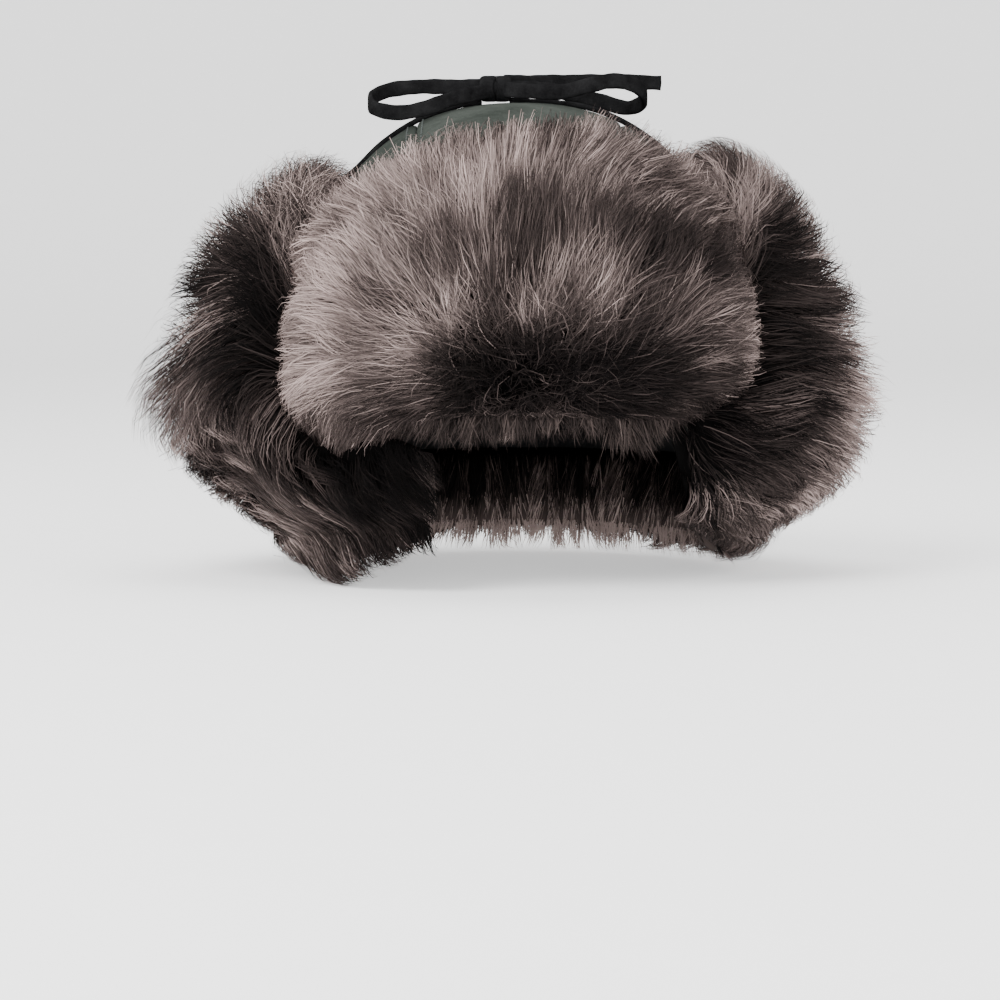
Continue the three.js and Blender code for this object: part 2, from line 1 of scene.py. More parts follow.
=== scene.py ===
# %% [markdown]
# # A fur aviator hat with its flaps tied up
# The hat stands on the long fur of its ear flaps. A suede crown of three panels is in the middle, four flaps are
# turned up against it, and two flat suede laces run from the ear flaps' tips to a bow on top. Nearly everything that
# the eye meets is fur, so most of this lesson is about hair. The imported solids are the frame: each piece below lies
# where its solid lies, because it is worked out from the same sizes.

# %% Load the frame
import math

import bpy
import numpy as np
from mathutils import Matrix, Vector


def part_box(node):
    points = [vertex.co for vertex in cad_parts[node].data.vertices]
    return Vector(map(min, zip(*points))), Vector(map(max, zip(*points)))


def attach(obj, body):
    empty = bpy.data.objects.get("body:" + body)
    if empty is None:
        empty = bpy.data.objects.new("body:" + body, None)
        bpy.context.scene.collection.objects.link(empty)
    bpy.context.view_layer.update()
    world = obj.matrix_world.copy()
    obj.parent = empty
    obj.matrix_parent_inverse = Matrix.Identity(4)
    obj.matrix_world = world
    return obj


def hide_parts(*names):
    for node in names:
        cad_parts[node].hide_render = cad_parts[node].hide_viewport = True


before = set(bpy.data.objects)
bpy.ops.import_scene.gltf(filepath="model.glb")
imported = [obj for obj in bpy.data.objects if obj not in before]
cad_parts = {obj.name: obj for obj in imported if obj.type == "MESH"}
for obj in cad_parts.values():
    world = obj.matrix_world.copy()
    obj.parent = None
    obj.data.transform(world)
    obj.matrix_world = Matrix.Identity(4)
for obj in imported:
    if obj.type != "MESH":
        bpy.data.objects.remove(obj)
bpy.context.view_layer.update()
MM = 0.001
low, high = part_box("crown_lining")
CENTRE = np.array([(low.x + high.x) / 2, (low.y + high.y) / 2, 0.0]) / MM
print("the hat's axis is at", CENTRE.round(2), "mm")

# %% [markdown]
# ## The camera
# The photograph looks at the brow from a little above the floor, with a long lens. The camera comes first, because
# the laces' lengths are judged against what it sees.

# %% Camera
VIEW = {"elevation": 4.0, "distance": 1.5, "aim": (-0.0072, -0.0016, 0.031), "frame_width": 0.431, "sensor": 36.0}
lens = bpy.data.cameras.new("camera")
lens.sensor_width = VIEW["sensor"]
lens.lens = VIEW["sensor"] * VIEW["distance"] / VIEW["frame_width"]
camera = bpy.data.objects.new("camera", lens)
bpy.context.scene.collection.objects.link(camera)
rise = math.radians(VIEW["elevation"])
away = Vector((0, -math.cos(rise), math.sin(rise))) * VIEW["distance"]
camera.location = Vector(VIEW["aim"]) + away
camera.rotation_euler = (-away).to_track_quat("-Z", "Y").to_euler()
bpy.context.scene.camera = camera
print("lens", round(lens.lens, 1), "mm")

# %% [markdown]
# ## The crown's form and the tables
# All shapes hang on one form: an oval drum that closes over a shoulder as a dome. A point is named by its angle round
# the hat, its height, and how far it stands off the form. Short tables give the flaps' sizes at a few angles, and a
# smooth curve through their rows gives them everywhere else.

# %% The crown's form
GAP = 0.4
CROWN = {"half_width": 92.0, "half_length": 108.0, "top": 201.0, "shoulder": 86.0, "power": 2.4, "wall": 1.8}
RIM = {"front": 70.0, "side": 18.0, "level_to": 44.0, "drop_to": 68.0}
LINING_WALL = 2.4
SEAM = 44.0


def unit(v):
    """Vectors divided by their own length."""
    return v / np.maximum(np.linalg.norm(v, axis=-1, keepdims=True), 1e-9)


def crown_point(angle, height, standoff=0.0):
    """Points in mm: an ellipse at each height, shrunk above the shoulder by (1 - rise^p)^(1/p), moved out along the
    normal by standoff."""
    a = np.radians(angle)
    tall = CROWN["top"] - CROWN["shoulder"]
    climb = np.clip((height - CROWN["shoulder"]) / tall, 0, 0.9999)
    p = CROWN["power"]
    inset = (1 - climb**p) ** (1 / p)
    sine, cosine = np.sin(a), np.cos(a)
    flat = [CROWN["half_width"] * sine * inset, -CROWN["half_length"] * cosine * inset, height + 0 * a]
    flare = inset ** (p - 1)
    out = [flare * sine / CROWN["half_width"], -flare * cosine / CROWN["half_length"], climb ** (p - 1) / tall + 0 * a]
    point, normal = (np.stack(np.broadcast_arrays(*three), -1) for three in (flat, out))
    return point + np.asarray(standoff)[..., None] * unit(normal)


def ease(x, start, end):
    """0 before start, 1 after end, and 3t^2 - 2t^3 between them."""
    t = np.clip((x - start) / (end - start), 0, 1)
    return t * t * (3 - 2 * t)


def from_front(angle):
    """The angle from the front, up to 180 degrees on either side."""
    return np.abs((np.asarray(angle, float) + 180) % 360 - 180)


def rim_height(angle):
    """The height of the opening's edge: level over the brow, low at the sides and the back."""
    share = ease(from_front(angle), RIM["level_to"], RIM["drop_to"])
    return RIM["front"] + (RIM["side"] - RIM["front"]) * share


print("top of the form", crown_point(0.0, CROWN["top"])[2], "mm")

# %% [markdown]
# ## Tables in place of control points
# A flap changes its height and its thickness as it goes round the hat. In Blender that could be a mesh with a lattice
# or a few hand-moved loops. A table says the same in numbers: a row for each place that matters, and a curve between.

# %% Tables
def table(columns, *rows):
    """Named columns, each an array, from rows of numbers."""
    return dict(zip(columns.split(), np.array(rows, float).T))


def column(rows, place, name):
    """A column at a place along the first one: a Hermite curve whose slope at each row is that from the row before to
    the row after."""
    x, y = next(iter(rows.values())), rows[name]
    place = np.clip(place, x[0], x[-1])
    before = np.maximum(np.arange(len(x)) - 1, 0)
    after = np.minimum(np.arange(len(x)) + 1, len(x) - 1)
    slope = (y[after] - y[before]) / (x[after] - x[before])
    i = np.clip(np.searchsorted(x, place, side="right") - 1, 0, len(x) - 2)
    span = x[i + 1] - x[i]
    t = (place - x[i]) / span
    ends = (2 * t**3 - 3 * t**2 + 1) * y[i] + (3 * t**2 - 2 * t**3) * y[i + 1]
    return ends + span * ((t**3 - 2 * t**2 + t) * slope[i] + (t**3 - t**2) * slope[i + 1])


print("halfway from 0 to 10:", column(table("place size", (0, 0), (1, 10)), 0.5, "size"))

# %% The flaps' tables
BROW_PROFILE = table(
    "share stand depth", (0, 0, 0.5), (0.12, 0.6, 0.85), (0.3, 0.9, 1), (0.6, 1, 0.96), (0.85, 0.85, 0.84),
    (1, 0.7, 0.7),
)
EAR_PROFILE = table(
    "share stand depth", (0, 0, 0.36), (0.1, 0.55, 0.62), (0.2, 0.86, 0.84), (0.32, 1, 0.98), (0.45, 0.98, 1),
    (0.6, 0.86, 0.92), (0.75, 0.72, 0.8), (0.92, 0.5, 0.68), (1, 0.4, 0.58),
)
# For each angle: the heights of the fold and of the leather's top edge, how far the leather bows off the crown, how
# thick the fur is, and how far it hangs below the fold, all in mm.
ROWS = "angle fold top standoff pile hang"
BROW = {
    "rows": table(
        ROWS, (-57, 57, 126, 9, 19, 15), (-46, 62, 143, 10, 21, 22), (-36, 68, 151, 10, 22, 13),
        (-18, 73, 160, 9, 23, 4), (0, 74, 164, 9, 23, 3), (18, 73, 165, 9, 23, 3), (36, 72, 158, 10, 22, 4),
        (46, 72, 148, 10, 21, 5), (57, 72, 132, 9, 19, 6),
    ),
    "profile": BROW_PROFILE,
    "ends_over": 8,
}
LEFT_EAR = {
    "rows": table(
        ROWS, (43, 30, 66, 4, 15, 2), (52, 24, 108, 8, 21, 2), (60, 20, 150, 12, 26, 4), (70, 18, 160, 17, 32, 6),
        (82, 17, 154, 20, 36, 9), (94, 17, 149, 21, 37, 11), (106, 17, 136, 19, 35, 13), (118, 18, 116, 15, 32, 13),
        (131.5, 19, 103, 11, 28, 13),
    ),
    "profile": EAR_PROFILE,
    "ends_over": 8,
}
RIGHT_EAR = {
    "rows": table(
        ROWS, (-131.5, 19, 103, 11, 28, 15), (-118, 18, 116, 15, 33, 20), (-106, 17, 134, 19, 37, 24),
        (-94, 17, 146, 21, 39, 15), (-82, 17, 154, 20, 38, 9), (-70, 18, 153, 17, 34, 12), (-60, 20, 136, 12, 27, 20),
        (-50, 22, 78, 6, 21, 24), (-36, 24, 62, 3, 15, 16), (-23, 26, 56, 2, 9, 9),
    ),
    "profile": EAR_PROFILE,
    "ends_over": 8,
}
NECK = {
    "rows": table(
        ROWS, (131.5, 19, 103, 11, 28, 15), (150, 21, 94, 10, 26, 15), (180, 22, 90, 9, 25, 15),
        (210, 21, 94, 10, 26, 15), (228.5, 19, 103, 11, 28, 15),
    ),
    "profile": BROW_PROFILE,
    "ends_over": 0,
}
for flap in (BROW, LEFT_EAR, RIGHT_EAR, NECK):
    print("a flap from", flap["rows"]["angle"][0], "to", flap["rows"]["angle"][-1], "degrees")

# %% A place on a flap
SKIN = 1.6  # the leather's thickness


def flap_height(flap, angle):
    """The leather's height between its fold and its top edge."""
    return column(flap["rows"], angle, "top") - column(flap["rows"], angle, "fold")


def flap_point(flap, angle, share, pile, lift=0.0):
    """A point of a flap: share runs from the fold up to the leather's top edge, pile from the leather to the fur's
    outer face, and lift is mm outwards. The pile dwindles towards the flap's two ends as a quarter circle."""
    angle, share = np.broadcast_arrays(np.asarray(angle, float), np.asarray(share, float))
    rows, profile = flap["rows"], flap["profile"]
    inward = np.minimum(angle - rows["angle"][0], rows["angle"][-1] - angle)
    short = np.clip(1 - inward / flap["ends_over"], 0, 1) if flap["ends_over"] else 0 * angle
    swell = 0.4 + 0.6 * np.sqrt(1 - short**2)
    fold, top = column(rows, angle, "fold"), column(rows, angle, "top")
    stand = column(rows, angle, "standoff") * column(profile, share, "stand")
    depth = pile * column(rows, angle, "pile") * swell * column(profile, share, "depth")
    return crown_point(angle, fold + (top - fold) * share, GAP + stand + depth + lift)


print("widest fur", flap_point(LEFT_EAR, 90, 0.4, 1)[0].round(1), "mm from the axis")

# %% [markdown]
# ## From arrays to meshes
# A surface is a grid of points. Its four-sided cells become pairs of triangles, points that coincide are merged, which
# closes seams and poles, and triangles that this collapses are dropped.

# %% Mesh making
def cells(rows, columns, round_rows=False, round_columns=False, start=0):
    """The triangles of a grid whose points are numbered row by row from start."""
    grid = np.arange(rows * columns).reshape(rows, columns) + start
    if round_rows:
        grid = np.vstack([grid, grid[:1]])
    if round_columns:
        grid = np.hstack([grid, grid[:, :1]])
    a, b, c, d = grid[:-1, :-1], grid[1:, :-1], grid[1:, 1:], grid[:-1, 1:]
    return np.concatenate([np.stack(t, -1).reshape(-1, 3) for t in ((a, b, c), (a, c, d))])


def weld(points, triangles):
    """Merges points closer than about a thousandth of a mm, and drops the triangles that collapse."""
    rounded = (points * 1000).round().astype(np.int64)
    _, first, where = np.unique(rounded, axis=0, return_index=True, return_inverse=True)
    triangles = where.reshape(-1)[triangles]
    a, b, c = triangles.T
    return points[first], triangles[(a != b) & (b != c) & (c != a)]


def volume(points, triangles):
    """A closed surface's volume: the sum of a . (b x c) / 6 over its triangles."""
    a, b, c = (points[triangles[:, k]] for k in range(3))
    return (a * np.cross(b, c)).sum() / 6


print("a grid of 3 by 4 points has", len(cells(3, 4)), "triangles")


# %% Pieces and walls
def piece(name, points, triangles, material, stands_for=(), closed=True):
    """Makes one piece from points in mm about the hat's axis, lets it ride on the hat and replace its solids."""
    if closed:
        points, triangles = weld(points, triangles)
        if volume(points, triangles) < 0:
            triangles = triangles[:, ::-1]
    mesh = bpy.data.meshes.new(name)
    mesh.vertices.add(len(points))
    mesh.vertices.foreach_set("co", ((points + CENTRE) * MM).astype(np.float32).ravel())
    mesh.loops.add(3 * len(triangles))
    mesh.loops.foreach_set("vertex_index", triangles.astype(np.int32).ravel())
    mesh.polygons.add(len(triangles))
    mesh.polygons.foreach_set("loop_start", np.arange(0, 3 * len(triangles), 3, dtype=np.int32))
    mesh.update(calc_edges=True)
    mesh.polygons.foreach_set("use_smooth", np.full(len(triangles), True))
    mesh.materials.append(material)
    thing = bpy.data.objects.new(name, mesh)
    bpy.context.scene.collection.objects.link(thing)
    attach(thing, "root")
    if stands_for:
        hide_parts(*stands_for)
    print(f"{name}: {len(triangles)} triangles")
    return thing


def shell(outer, inner, round_columns=False):
    """Two grids of the same shape, joined along their borders into one closed wall."""
    rows, columns = outer.shape[:2]
    loops = np.concatenate([outer, inner[::-1]])
    triangles = [cells(2 * rows, columns, round_rows=True, round_columns=round_columns)]
    points = loops.reshape(-1, 3)
    if not round_columns:
        for side in (0, columns - 1):
            ring = np.concatenate([outer[:, side], inner[:, side]])
            strip = cells(2, rows, start=len(points))
            triangles.append(strip[:, ::-1] if side else strip)
            points = np.concatenate([points, ring])
    return points, np.concatenate(triangles)


tile = np.stack([*np.meshgrid([0.0, 1.0], [0.0, 1.0]), np.ones((2, 2))], -1)
print("a closed block of 1 by 1 by 1 mm:", abs(volume(*shell(tile, tile - (0, 0, 1)))), "mm3")

# %% [markdown]
# ## Suede and lining
# Suede is leather with its surface brushed into a nap. Close to, the nap is a fine grain; further off, it shows as
# soft patches, lighter where it was last brushed one way and darker the other. Both come from noise on the object's
# own coordinates, and the crown, the flaps and the laces all use them, so they are one node group.

# %% Node helpers
def links_of(tree):
    """Short forms of the two calls that build a node tree."""

    def node(kind, **values):
        made = tree.nodes.new(kind)
        for name, value in values.items():
            if hasattr(made, name):
                setattr(made, name, value)
            else:
                made.inputs[name.replace("_", " ")].default_value = value
        return made

    def link(source, socket, target, entry):
        tree.links.new(source.outputs[socket], target.inputs[entry])

    return node, link


def group(name, inputs, outputs):
    """An empty shader group with these sockets, and its two end nodes."""
    tree = bpy.data.node_groups.new(name, "ShaderNodeTree")
    for way, sockets in (("INPUT", inputs), ("OUTPUT", outputs)):
        for title, kind, value in sockets:
            socket = tree.interface.new_socket(name=title, in_out=way, socket_type=kind)
            if value is not None:
                socket.default_value = value
    node, link = links_of(tree)
    return tree, node, link, node("NodeGroupInput"), node("NodeGroupOutput")


def ramp(node, low, high):
    """A colour ramp from one colour to another."""
    made = node("ShaderNodeValToRGB")
    made.color_ramp.elements[0].color = (*low, 1)
    made.color_ramp.elements[1].color = (*high, 1)
    return made


COLOUR, NUMBER = "NodeSocketColor", "NodeSocketFloat"
MIX_A, MIX_B, MIXED = 6, 7, 2  # the numbers of a mix node's colour sockets
print("groups take sockets of two kinds:", COLOUR, NUMBER)

# %% A node group for the nap
nap, node, link, given, put_out = group(
    "nap",
    [("Dark", COLOUR, (0.02, 0.02, 0.02, 1)), ("Light", COLOUR, (0.06, 0.06, 0.06, 1)), ("Patches", NUMBER, 30.0)],
    [("Colour", COLOUR, None), ("Height", NUMBER, None)],
)
place = node("ShaderNodeTexCoord")
patches = node("ShaderNodeTexNoise", Detail=3.0, Roughness=0.6)
grain = node("ShaderNodeTexNoise", Scale=1500.0, Detail=2.0, Roughness=0.7)
brushed = node("ShaderNodeTexNoise", Scale=260.0, Detail=3.0, Roughness=0.65)
for noise in (patches, grain, brushed):
    link(place, "Object", noise, "Vector")
link(given, "Patches", patches, "Scale")
weigh = node("ShaderNodeMath", operation="MULTIPLY_ADD")
weigh.inputs[1].default_value = 0.45
link(brushed, "Fac", weigh, 0)
link(patches, "Fac", weigh, 2)
fine = node("ShaderNodeMath", operation="MULTIPLY_ADD")
fine.inputs[1].default_value = 0.35
link(grain, "Fac", fine, 0)
link(weigh, "Value", fine, 2)
spread = node("ShaderNodeMapRange", From_Min=0.6, From_Max=1.2)
link(fine, "Value", spread, "Value")
blend = node("ShaderNodeMix", data_type="RGBA")
link(spread, "Result", blend, "Factor")
link(given, "Dark", blend, MIX_A)
link(given, "Light", blend, MIX_B)
link(blend, MIXED, put_out, "Colour")
link(fine, "Value", put_out, "Height")
print("nap group:", len(nap.nodes), "nodes")

# %% [markdown]
# ## Four plain finishes
# The crown's and the flaps' suede and the laces differ only in tone and in how large the brushed patches are, so they
# are the same group with other values. The lining is a black weave with a little dust, and the sewing thread is a
# twisted wave.

# %% Suede
def material(name, roughness, specular=0.3, sheen=0.0):
    """A material with one Principled shader and its plain values."""
    made = bpy.data.materials.new(name)
    made.use_nodes = True
    shader = made.node_tree.nodes["Principled BSDF"]
    shader.inputs["Roughness"].default_value = roughness
    shader.inputs["Specular IOR Level"].default_value = specular
    shader.inputs["Sheen Weight"].default_value = sheen
    return made, shader


def suede(name, dark, light, patches, depth):
    """Napped leather: the nap group's colour, and its height as a bump of that depth in metres."""
    made, shader = material(name, 1.0, 0.0)
    node, link = links_of(made.node_tree)
    surface = node("ShaderNodeGroup", node_tree=nap)
    surface.inputs["Dark"].default_value = (*dark, 1)
    surface.inputs["Light"].default_value = (*light, 1)
    surface.inputs["Patches"].default_value = patches
    bump = node("ShaderNodeBump", Strength=0.7, Distance=depth)
    link(surface, "Colour", shader, "Base Color")
    link(surface, "Height", bump, "Height")
    link(bump, "Normal", shader, "Normal")
    return made


CROWN_SUEDE = suede("crown_suede", (0.022, 0.026, 0.0225), (0.060, 0.067, 0.060), 26.0, 0.0006)
FLAP_SUEDE = suede("flap_suede", (0.012, 0.013, 0.012), (0.030, 0.033, 0.030), 30.0, 0.0006)
LACE_SUEDE = suede("lace_suede", (0.003, 0.003, 0.0032), (0.015, 0.015, 0.0155), 90.0, 0.0005)
print("suedes:", CROWN_SUEDE.name, FLAP_SUEDE.name, LACE_SUEDE.name)

# %% Thread and lining
THREAD, thread_shader = material("thread", 0.7, 0.3)
node, link = links_of(THREAD.node_tree)
twist = node("ShaderNodeTexWave", Scale=900.0, Distortion=1.0, bands_direction="DIAGONAL")
link(node("ShaderNodeTexCoord"), "Object", twist, "Vector")
tint = ramp(node, (0.02, 0.026, 0.024), (0.06, 0.07, 0.065))
link(twist, "Fac", tint, "Fac")
link(tint, "Color", thread_shader, "Base Color")

LINING, lining_shader = material("lining", 0.8, 0.1, 0.1)
node, link = links_of(LINING.node_tree)
place = node("ShaderNodeTexCoord")
weave = node("ShaderNodeTexWave", Scale=700.0, Distortion=0.4)
fold_dust = node("ShaderNodeTexNoise", Scale=40.0, Detail=3.0)
link(place, "Object", weave, "Vector")
link(place, "Object", fold_dust, "Vector")
tint = ramp(node, (0.0022, 0.0024, 0.0027), (0.008, 0.0085, 0.0095))
link(fold_dust, "Fac", tint, "Fac")
link(tint, "Color", lining_shader, "Base Color")
bump = node("ShaderNodeBump", Strength=0.4, Distance=0.0002)
link(weave, "Fac", bump, "Height")
link(bump, "Normal", lining_shader, "Normal")
print("also", THREAD.name, "and", LINING.name)

# %% [markdown]
# ## The laces
# Each lace is a flat strip of black suede, cut from a hide and about 6.4 mm wide. The ties come up from the ear
# flaps' tips and lie on the crown; the bow stands on its edge, so the lace's face shows from the front. A strip's
# centre follows a smooth curve through the same points as its solid. Its section is a rounded oblong, turned so that
# its width stays upright, or flat on the crown.

# %% A curve through points
LACE = {"width": 6.4, "thickness": 2.4, "round": 20}
KNOT = np.array([-10.0, -6.0, 206.9])


def smooth_path(points, spacing=1.7):
    """A centripetal Catmull-Rom curve: each span is a cubic whose end slopes come from its neighbours, with time
    steps the square roots of the distances. It is resampled to equal steps of arc length."""
    p = np.array(points, float)
    p = np.vstack([2 * p[0] - p[1], p, 2 * p[-1] - p[-2]])
    step = np.sqrt(np.linalg.norm(np.diff(p, axis=0), axis=1))[:, None]
    before, span, after = step[:-2], step[1:-1], step[2:]
    out = ((p[1:-2] - p[:-3]) / before - (p[2:-1] - p[:-3]) / (before + span) + (p[2:-1] - p[1:-2]) / span) * span
    into = ((p[2:-1] - p[1:-2]) / span - (p[3:] - p[1:-2]) / (span + after) + (p[3:] - p[2:-1]) / after) * span
    t = np.linspace(0, 1, 24, endpoint=False)[:, None, None]
    a, b = p[1:-2], p[2:-1]
    curve = a + out * t + (3 * (b - a) - 2 * out - into) * t**2 + (2 * (a - b) + out + into) * t**3
    line = np.vstack([curve.transpose(1, 0, 2).reshape(-1, 3), p[-2]])
    along = np.concatenate([[0], np.cumsum(np.linalg.norm(np.diff(line, axis=0), axis=1))])
    even = np.linspace(0, along[-1], max(8, round(along[-1] / spacing)))
    return np.stack([np.interp(even, along, line[:, k]) for k in range(3)], -1)


print("a straight path of 20 mm has", len(smooth_path([(0, 0, 0), (10, 0, 0), (20, 0, 0)])), "points")


# %% The laces' section
def strip(line, face, closed=False):
    """A rounded oblong carried along a line. face holds each point's normal to the broad side: the width lies along
    the cross product of face and the line's direction. The edges waver a little, as cut suede does."""
    along = unit(np.roll(line, -1, axis=0) - np.roll(line, 1, axis=0) if closed else np.gradient(line, axis=0))
    wide = unit(np.cross(face, along))
    thick = np.cross(along, wide)
    turn = np.linspace(0, 2 * np.pi, LACE["round"], endpoint=False)
    across = np.sign(np.cos(turn)) * np.abs(np.cos(turn)) ** 0.55
    through = np.sign(np.sin(turn)) * np.abs(np.sin(turn)) ** 0.55
    place = np.arange(len(line))
    waver = 1 + 0.035 * np.sin(place * 0.61) + 0.025 * np.sin(place * 1.37 + 1)
    half = LACE["width"] / 2 * waver[:, None, None] * across[:, None]
    rings = line[:, None] + wide[:, None] * half + thick[:, None] * (LACE["thickness"] / 2 * through[:, None])
    points = rings.reshape(-1, 3)
    triangles = cells(len(line), LACE["round"], round_rows=closed, round_columns=True)
    if closed:
        return points, triangles
    ends = [line[0] - 0.3 * along[0], line[-1] + 0.3 * along[-1]]
    first = np.arange(LACE["round"])
    last = first + LACE["round"] * (len(line) - 1)
    caps = [np.stack([first * 0 + len(points), first, np.roll(first, -1)], -1)]
    caps.append(np.stack([first * 0 + len(points) + 1, np.roll(last, -1), last], -1))
    return np.vstack([points, ends]), np.concatenate([triangles, *caps])


def join(*meshes):
    """Several meshes' points and triangles as one."""
    starts = np.cumsum([0] + [len(points) for points, _ in meshes[:-1]])
    return np.vstack([m[0] for m in meshes]), np.vstack([m[1] + s for m, s in zip(meshes, starts)])


print("a lace is", LACE["width"], "by", LACE["thickness"], "mm")

# %% [markdown]
# ## The bow and the ties
# The bow has two loops and two ends. It could be a rope let fall by a cloth simulation, but a bow is held by its knot
# and keeps the shape that it was pulled into, so each loop is drawn through a few points in mm. The knot is a ball of
# suede with two turns of the same strip round it.

# %% The bow's and the ties' lines
BOW = {
    "bow_loop_left": [
        (-6, -11, 206.4), (5, -15, 205.4), (18, -19, 205), (30, -21, 207.8), (41, -20, 209.8), (50, -14, 207.4),
        (53.5, -5, 202.6), (47, 4, 199.2), (32, 5, 203), (14, 1.5, 206.6), (-6, -4, 207.4),
    ],
    "bow_loop_right": [
        (-14, -5, 208), (-28, 2, 208.2), (-44, 4, 208.2), (-56, 2, 206.6), (-62.5, -5, 203), (-62, -14, 198.8),
        (-52, -20, 196.2), (-40, -20, 198), (-28, -16, 202.4), (-14, -10, 205.6),
    ],
    "bow_tail_left": [(-6, -1, 209.9), (8, 9, 210.4), (26, 12, 210.8), (45, 8, 210.6), (61, 7, 210)],
    "bow_tail_right": [(-13, -2, 207.6), (-21, 14, 206.4), (-29, 28, 203.4), (-36, 42, 198.8), (-41, 55, 192)],
}


def on_dome(x, y):
    """The angle and the height of the dome's point above a place in plan, which is what crown_point needs."""
    flat_x, flat_y = x / CROWN["half_width"], y / CROWN["half_length"]
    inset = np.clip(np.hypot(flat_x, flat_y), 0, 1)
    climb = (1 - inset ** CROWN["power"]) ** (1 / CROWN["power"])
    height = CROWN["shoulder"] + (CROWN["top"] - CROWN["shoulder"]) * climb
    return np.degrees(np.arctan2(flat_x, -flat_y)), height


def over_crown(x, y, above):
    """A point that far above the top of the form."""
    _, height = on_dome(x, y)
    return (x, y, height + above)


def tie_points(flap, side):
    """A tie's route from the ear flap's tip over the crown to the knot."""
    tip = flap_point(flap, side * 84.0, 1.0, 0, SKIN / 2)
    lie = LACE["thickness"] / 2 - 0.2
    return [
        (tip[0], tip[1], tip[2] + LACE["thickness"] / 2 + 2 * GAP), over_crown(side * 71, -8, lie + 1.5),
        over_crown(side * 58, -6, lie), over_crown(side * 42, -5, lie), over_crown(side * 26, -4, lie + 0.2),
        over_crown(KNOT[0] + side * 6, -4, lie + 0.1),
    ]


print("the knot's middle is", (KNOT[2] - over_crown(KNOT[0], KNOT[1], 0)[2]).round(1), "mm above the crown")

# %% The knot
KNOT_CORE = (8.0, 5.2, 4.4)
WRAP = (5.0, 4.4)
ball_turn, ball_rise = np.meshgrid(np.linspace(0, 2 * np.pi, 32, endpoint=False), np.linspace(0, np.pi, 17))
ball = np.stack([np.cos(ball_rise), np.sin(ball_rise) * np.cos(ball_turn), np.sin(ball_rise) * np.sin(ball_turn)], -1)
core = (KNOT + ball * KNOT_CORE).reshape(-1, 3), cells(*ball_turn.shape, round_columns=True)
wraps = [core]
for offset, lean in ((-2.6, 0.35), (2.8, -0.25)):
    turn = np.linspace(0, 2 * np.pi, 40, endpoint=False)
    ring = np.stack([lean * 4 * np.cos(turn) + offset, WRAP[0] * np.cos(turn), WRAP[1] * np.sin(turn)], -1)
    face = unit(np.stack([0 * turn, np.cos(turn) / WRAP[0], np.sin(turn) / WRAP[1]], -1))
    wraps.append(strip(KNOT + ring, face, closed=True))
knot = piece("knot", *join(*wraps), LACE_SUEDE, ["bow_knot"])


# %% Laying the laces
def lay_lace(name, points, face, solid, with_pieces=()):
    line = smooth_path(points)
    made = piece(name, *strip(line, face(line)), LACE_SUEDE, [solid])
    list(with_pieces)


def upright(line):
    """Face normals that keep the strip's width as upright as its direction lets it."""
    along = unit(np.gradient(line, axis=0))
    return unit(np.cross(along, np.array([0, 0, 1.0]) + 0 * along))


def on_crown(line):
    """Face normals that keep the strip flat on the crown."""
    toward = np.array([0, 0, 40.0])
    return unit((line - toward) / (CROWN["half_width"], CROWN["half_length"], CROWN["half_width"]))


for solid, flap, side, extra in (("tie_left", LEFT_EAR, 1, [knot]), ("tie_right", RIGHT_EAR, -1, [])):
    lay_lace("lace_" + solid, tie_points(flap, side), on_crown, solid, extra)
for solid, points in BOW.items():
    end = "object" if "loop" in solid else "bare"
    lay_lace("lace_" + solid, points, upright, solid)

# %% [markdown]
# ## The crown
# The real crown is sewn from a strip that runs from the brow over the top to the nape, and two side panels. At a seam
# the two edges are turned under, so each panel dips there, and a row of stitches holds the turned edge on either
# side. Each panel is a grid whose lines run along the seam, so that the dip follows it exactly.

# %% Panels
def soft_dents(points):
    """Low waves in mm over the suede, the sum of three sines of the place, so that it isn't a perfect dome."""
    x, y, z = np.moveaxis(points, -1, 0)
    broad = 0.5 * np.sin(x * 0.071 + y * 0.043 + 1) + 0.4 * np.sin(y * 0.083 - z * 0.061)
    return broad + 0.3 * np.sin(z * 0.11 + x * 0.05)


def turned_edge(from_seam, along):
    """How far the suede dips near a seam: 1.3 mm times the square of the share that is left of 2.4 mm, plus small
    puckers between the stitches, which fade over 5 mm."""
    roll = 1.3 * np.clip(1 - from_seam / 2.4, 0, 1) ** 2
    return roll + 0.22 * np.sin(along * 0.7) * np.exp(-from_seam / 5)


def centre_grid(half, across=26, over=100, down=8):
    """The middle strip: lines run from the front rim over the top to the back rim, closer together at the seams."""
    x = half * np.sin(np.linspace(-1, 1, across) * np.pi / 2)[None, :] + np.zeros((over, 1))
    sweep = np.sin(np.linspace(-1, 1, over) * np.pi / 2)[:, None]
    reach = CROWN["half_length"] * np.sqrt(1 - (x / CROWN["half_width"]) ** 2)
    angle, height = on_dome(x, sweep * reach)
    wall = np.linspace(0, 1, down, endpoint=False)[:, None]
    front, back = angle[0], angle[-1]
    shoulder = CROWN["shoulder"]
    lower = rim_height(front) + (shoulder - rim_height(front)) * wall
    upper = shoulder + (rim_height(back) - shoulder) * (wall + 1 / down)
    angles = np.vstack([front + 0 * wall, angle, back + 0 * wall])
    from_seam = half - np.abs(np.vstack([x[:1] + 0 * wall, x, x[-1:] + 0 * wall]))
    return angles, np.vstack([lower, height, upper]), from_seam


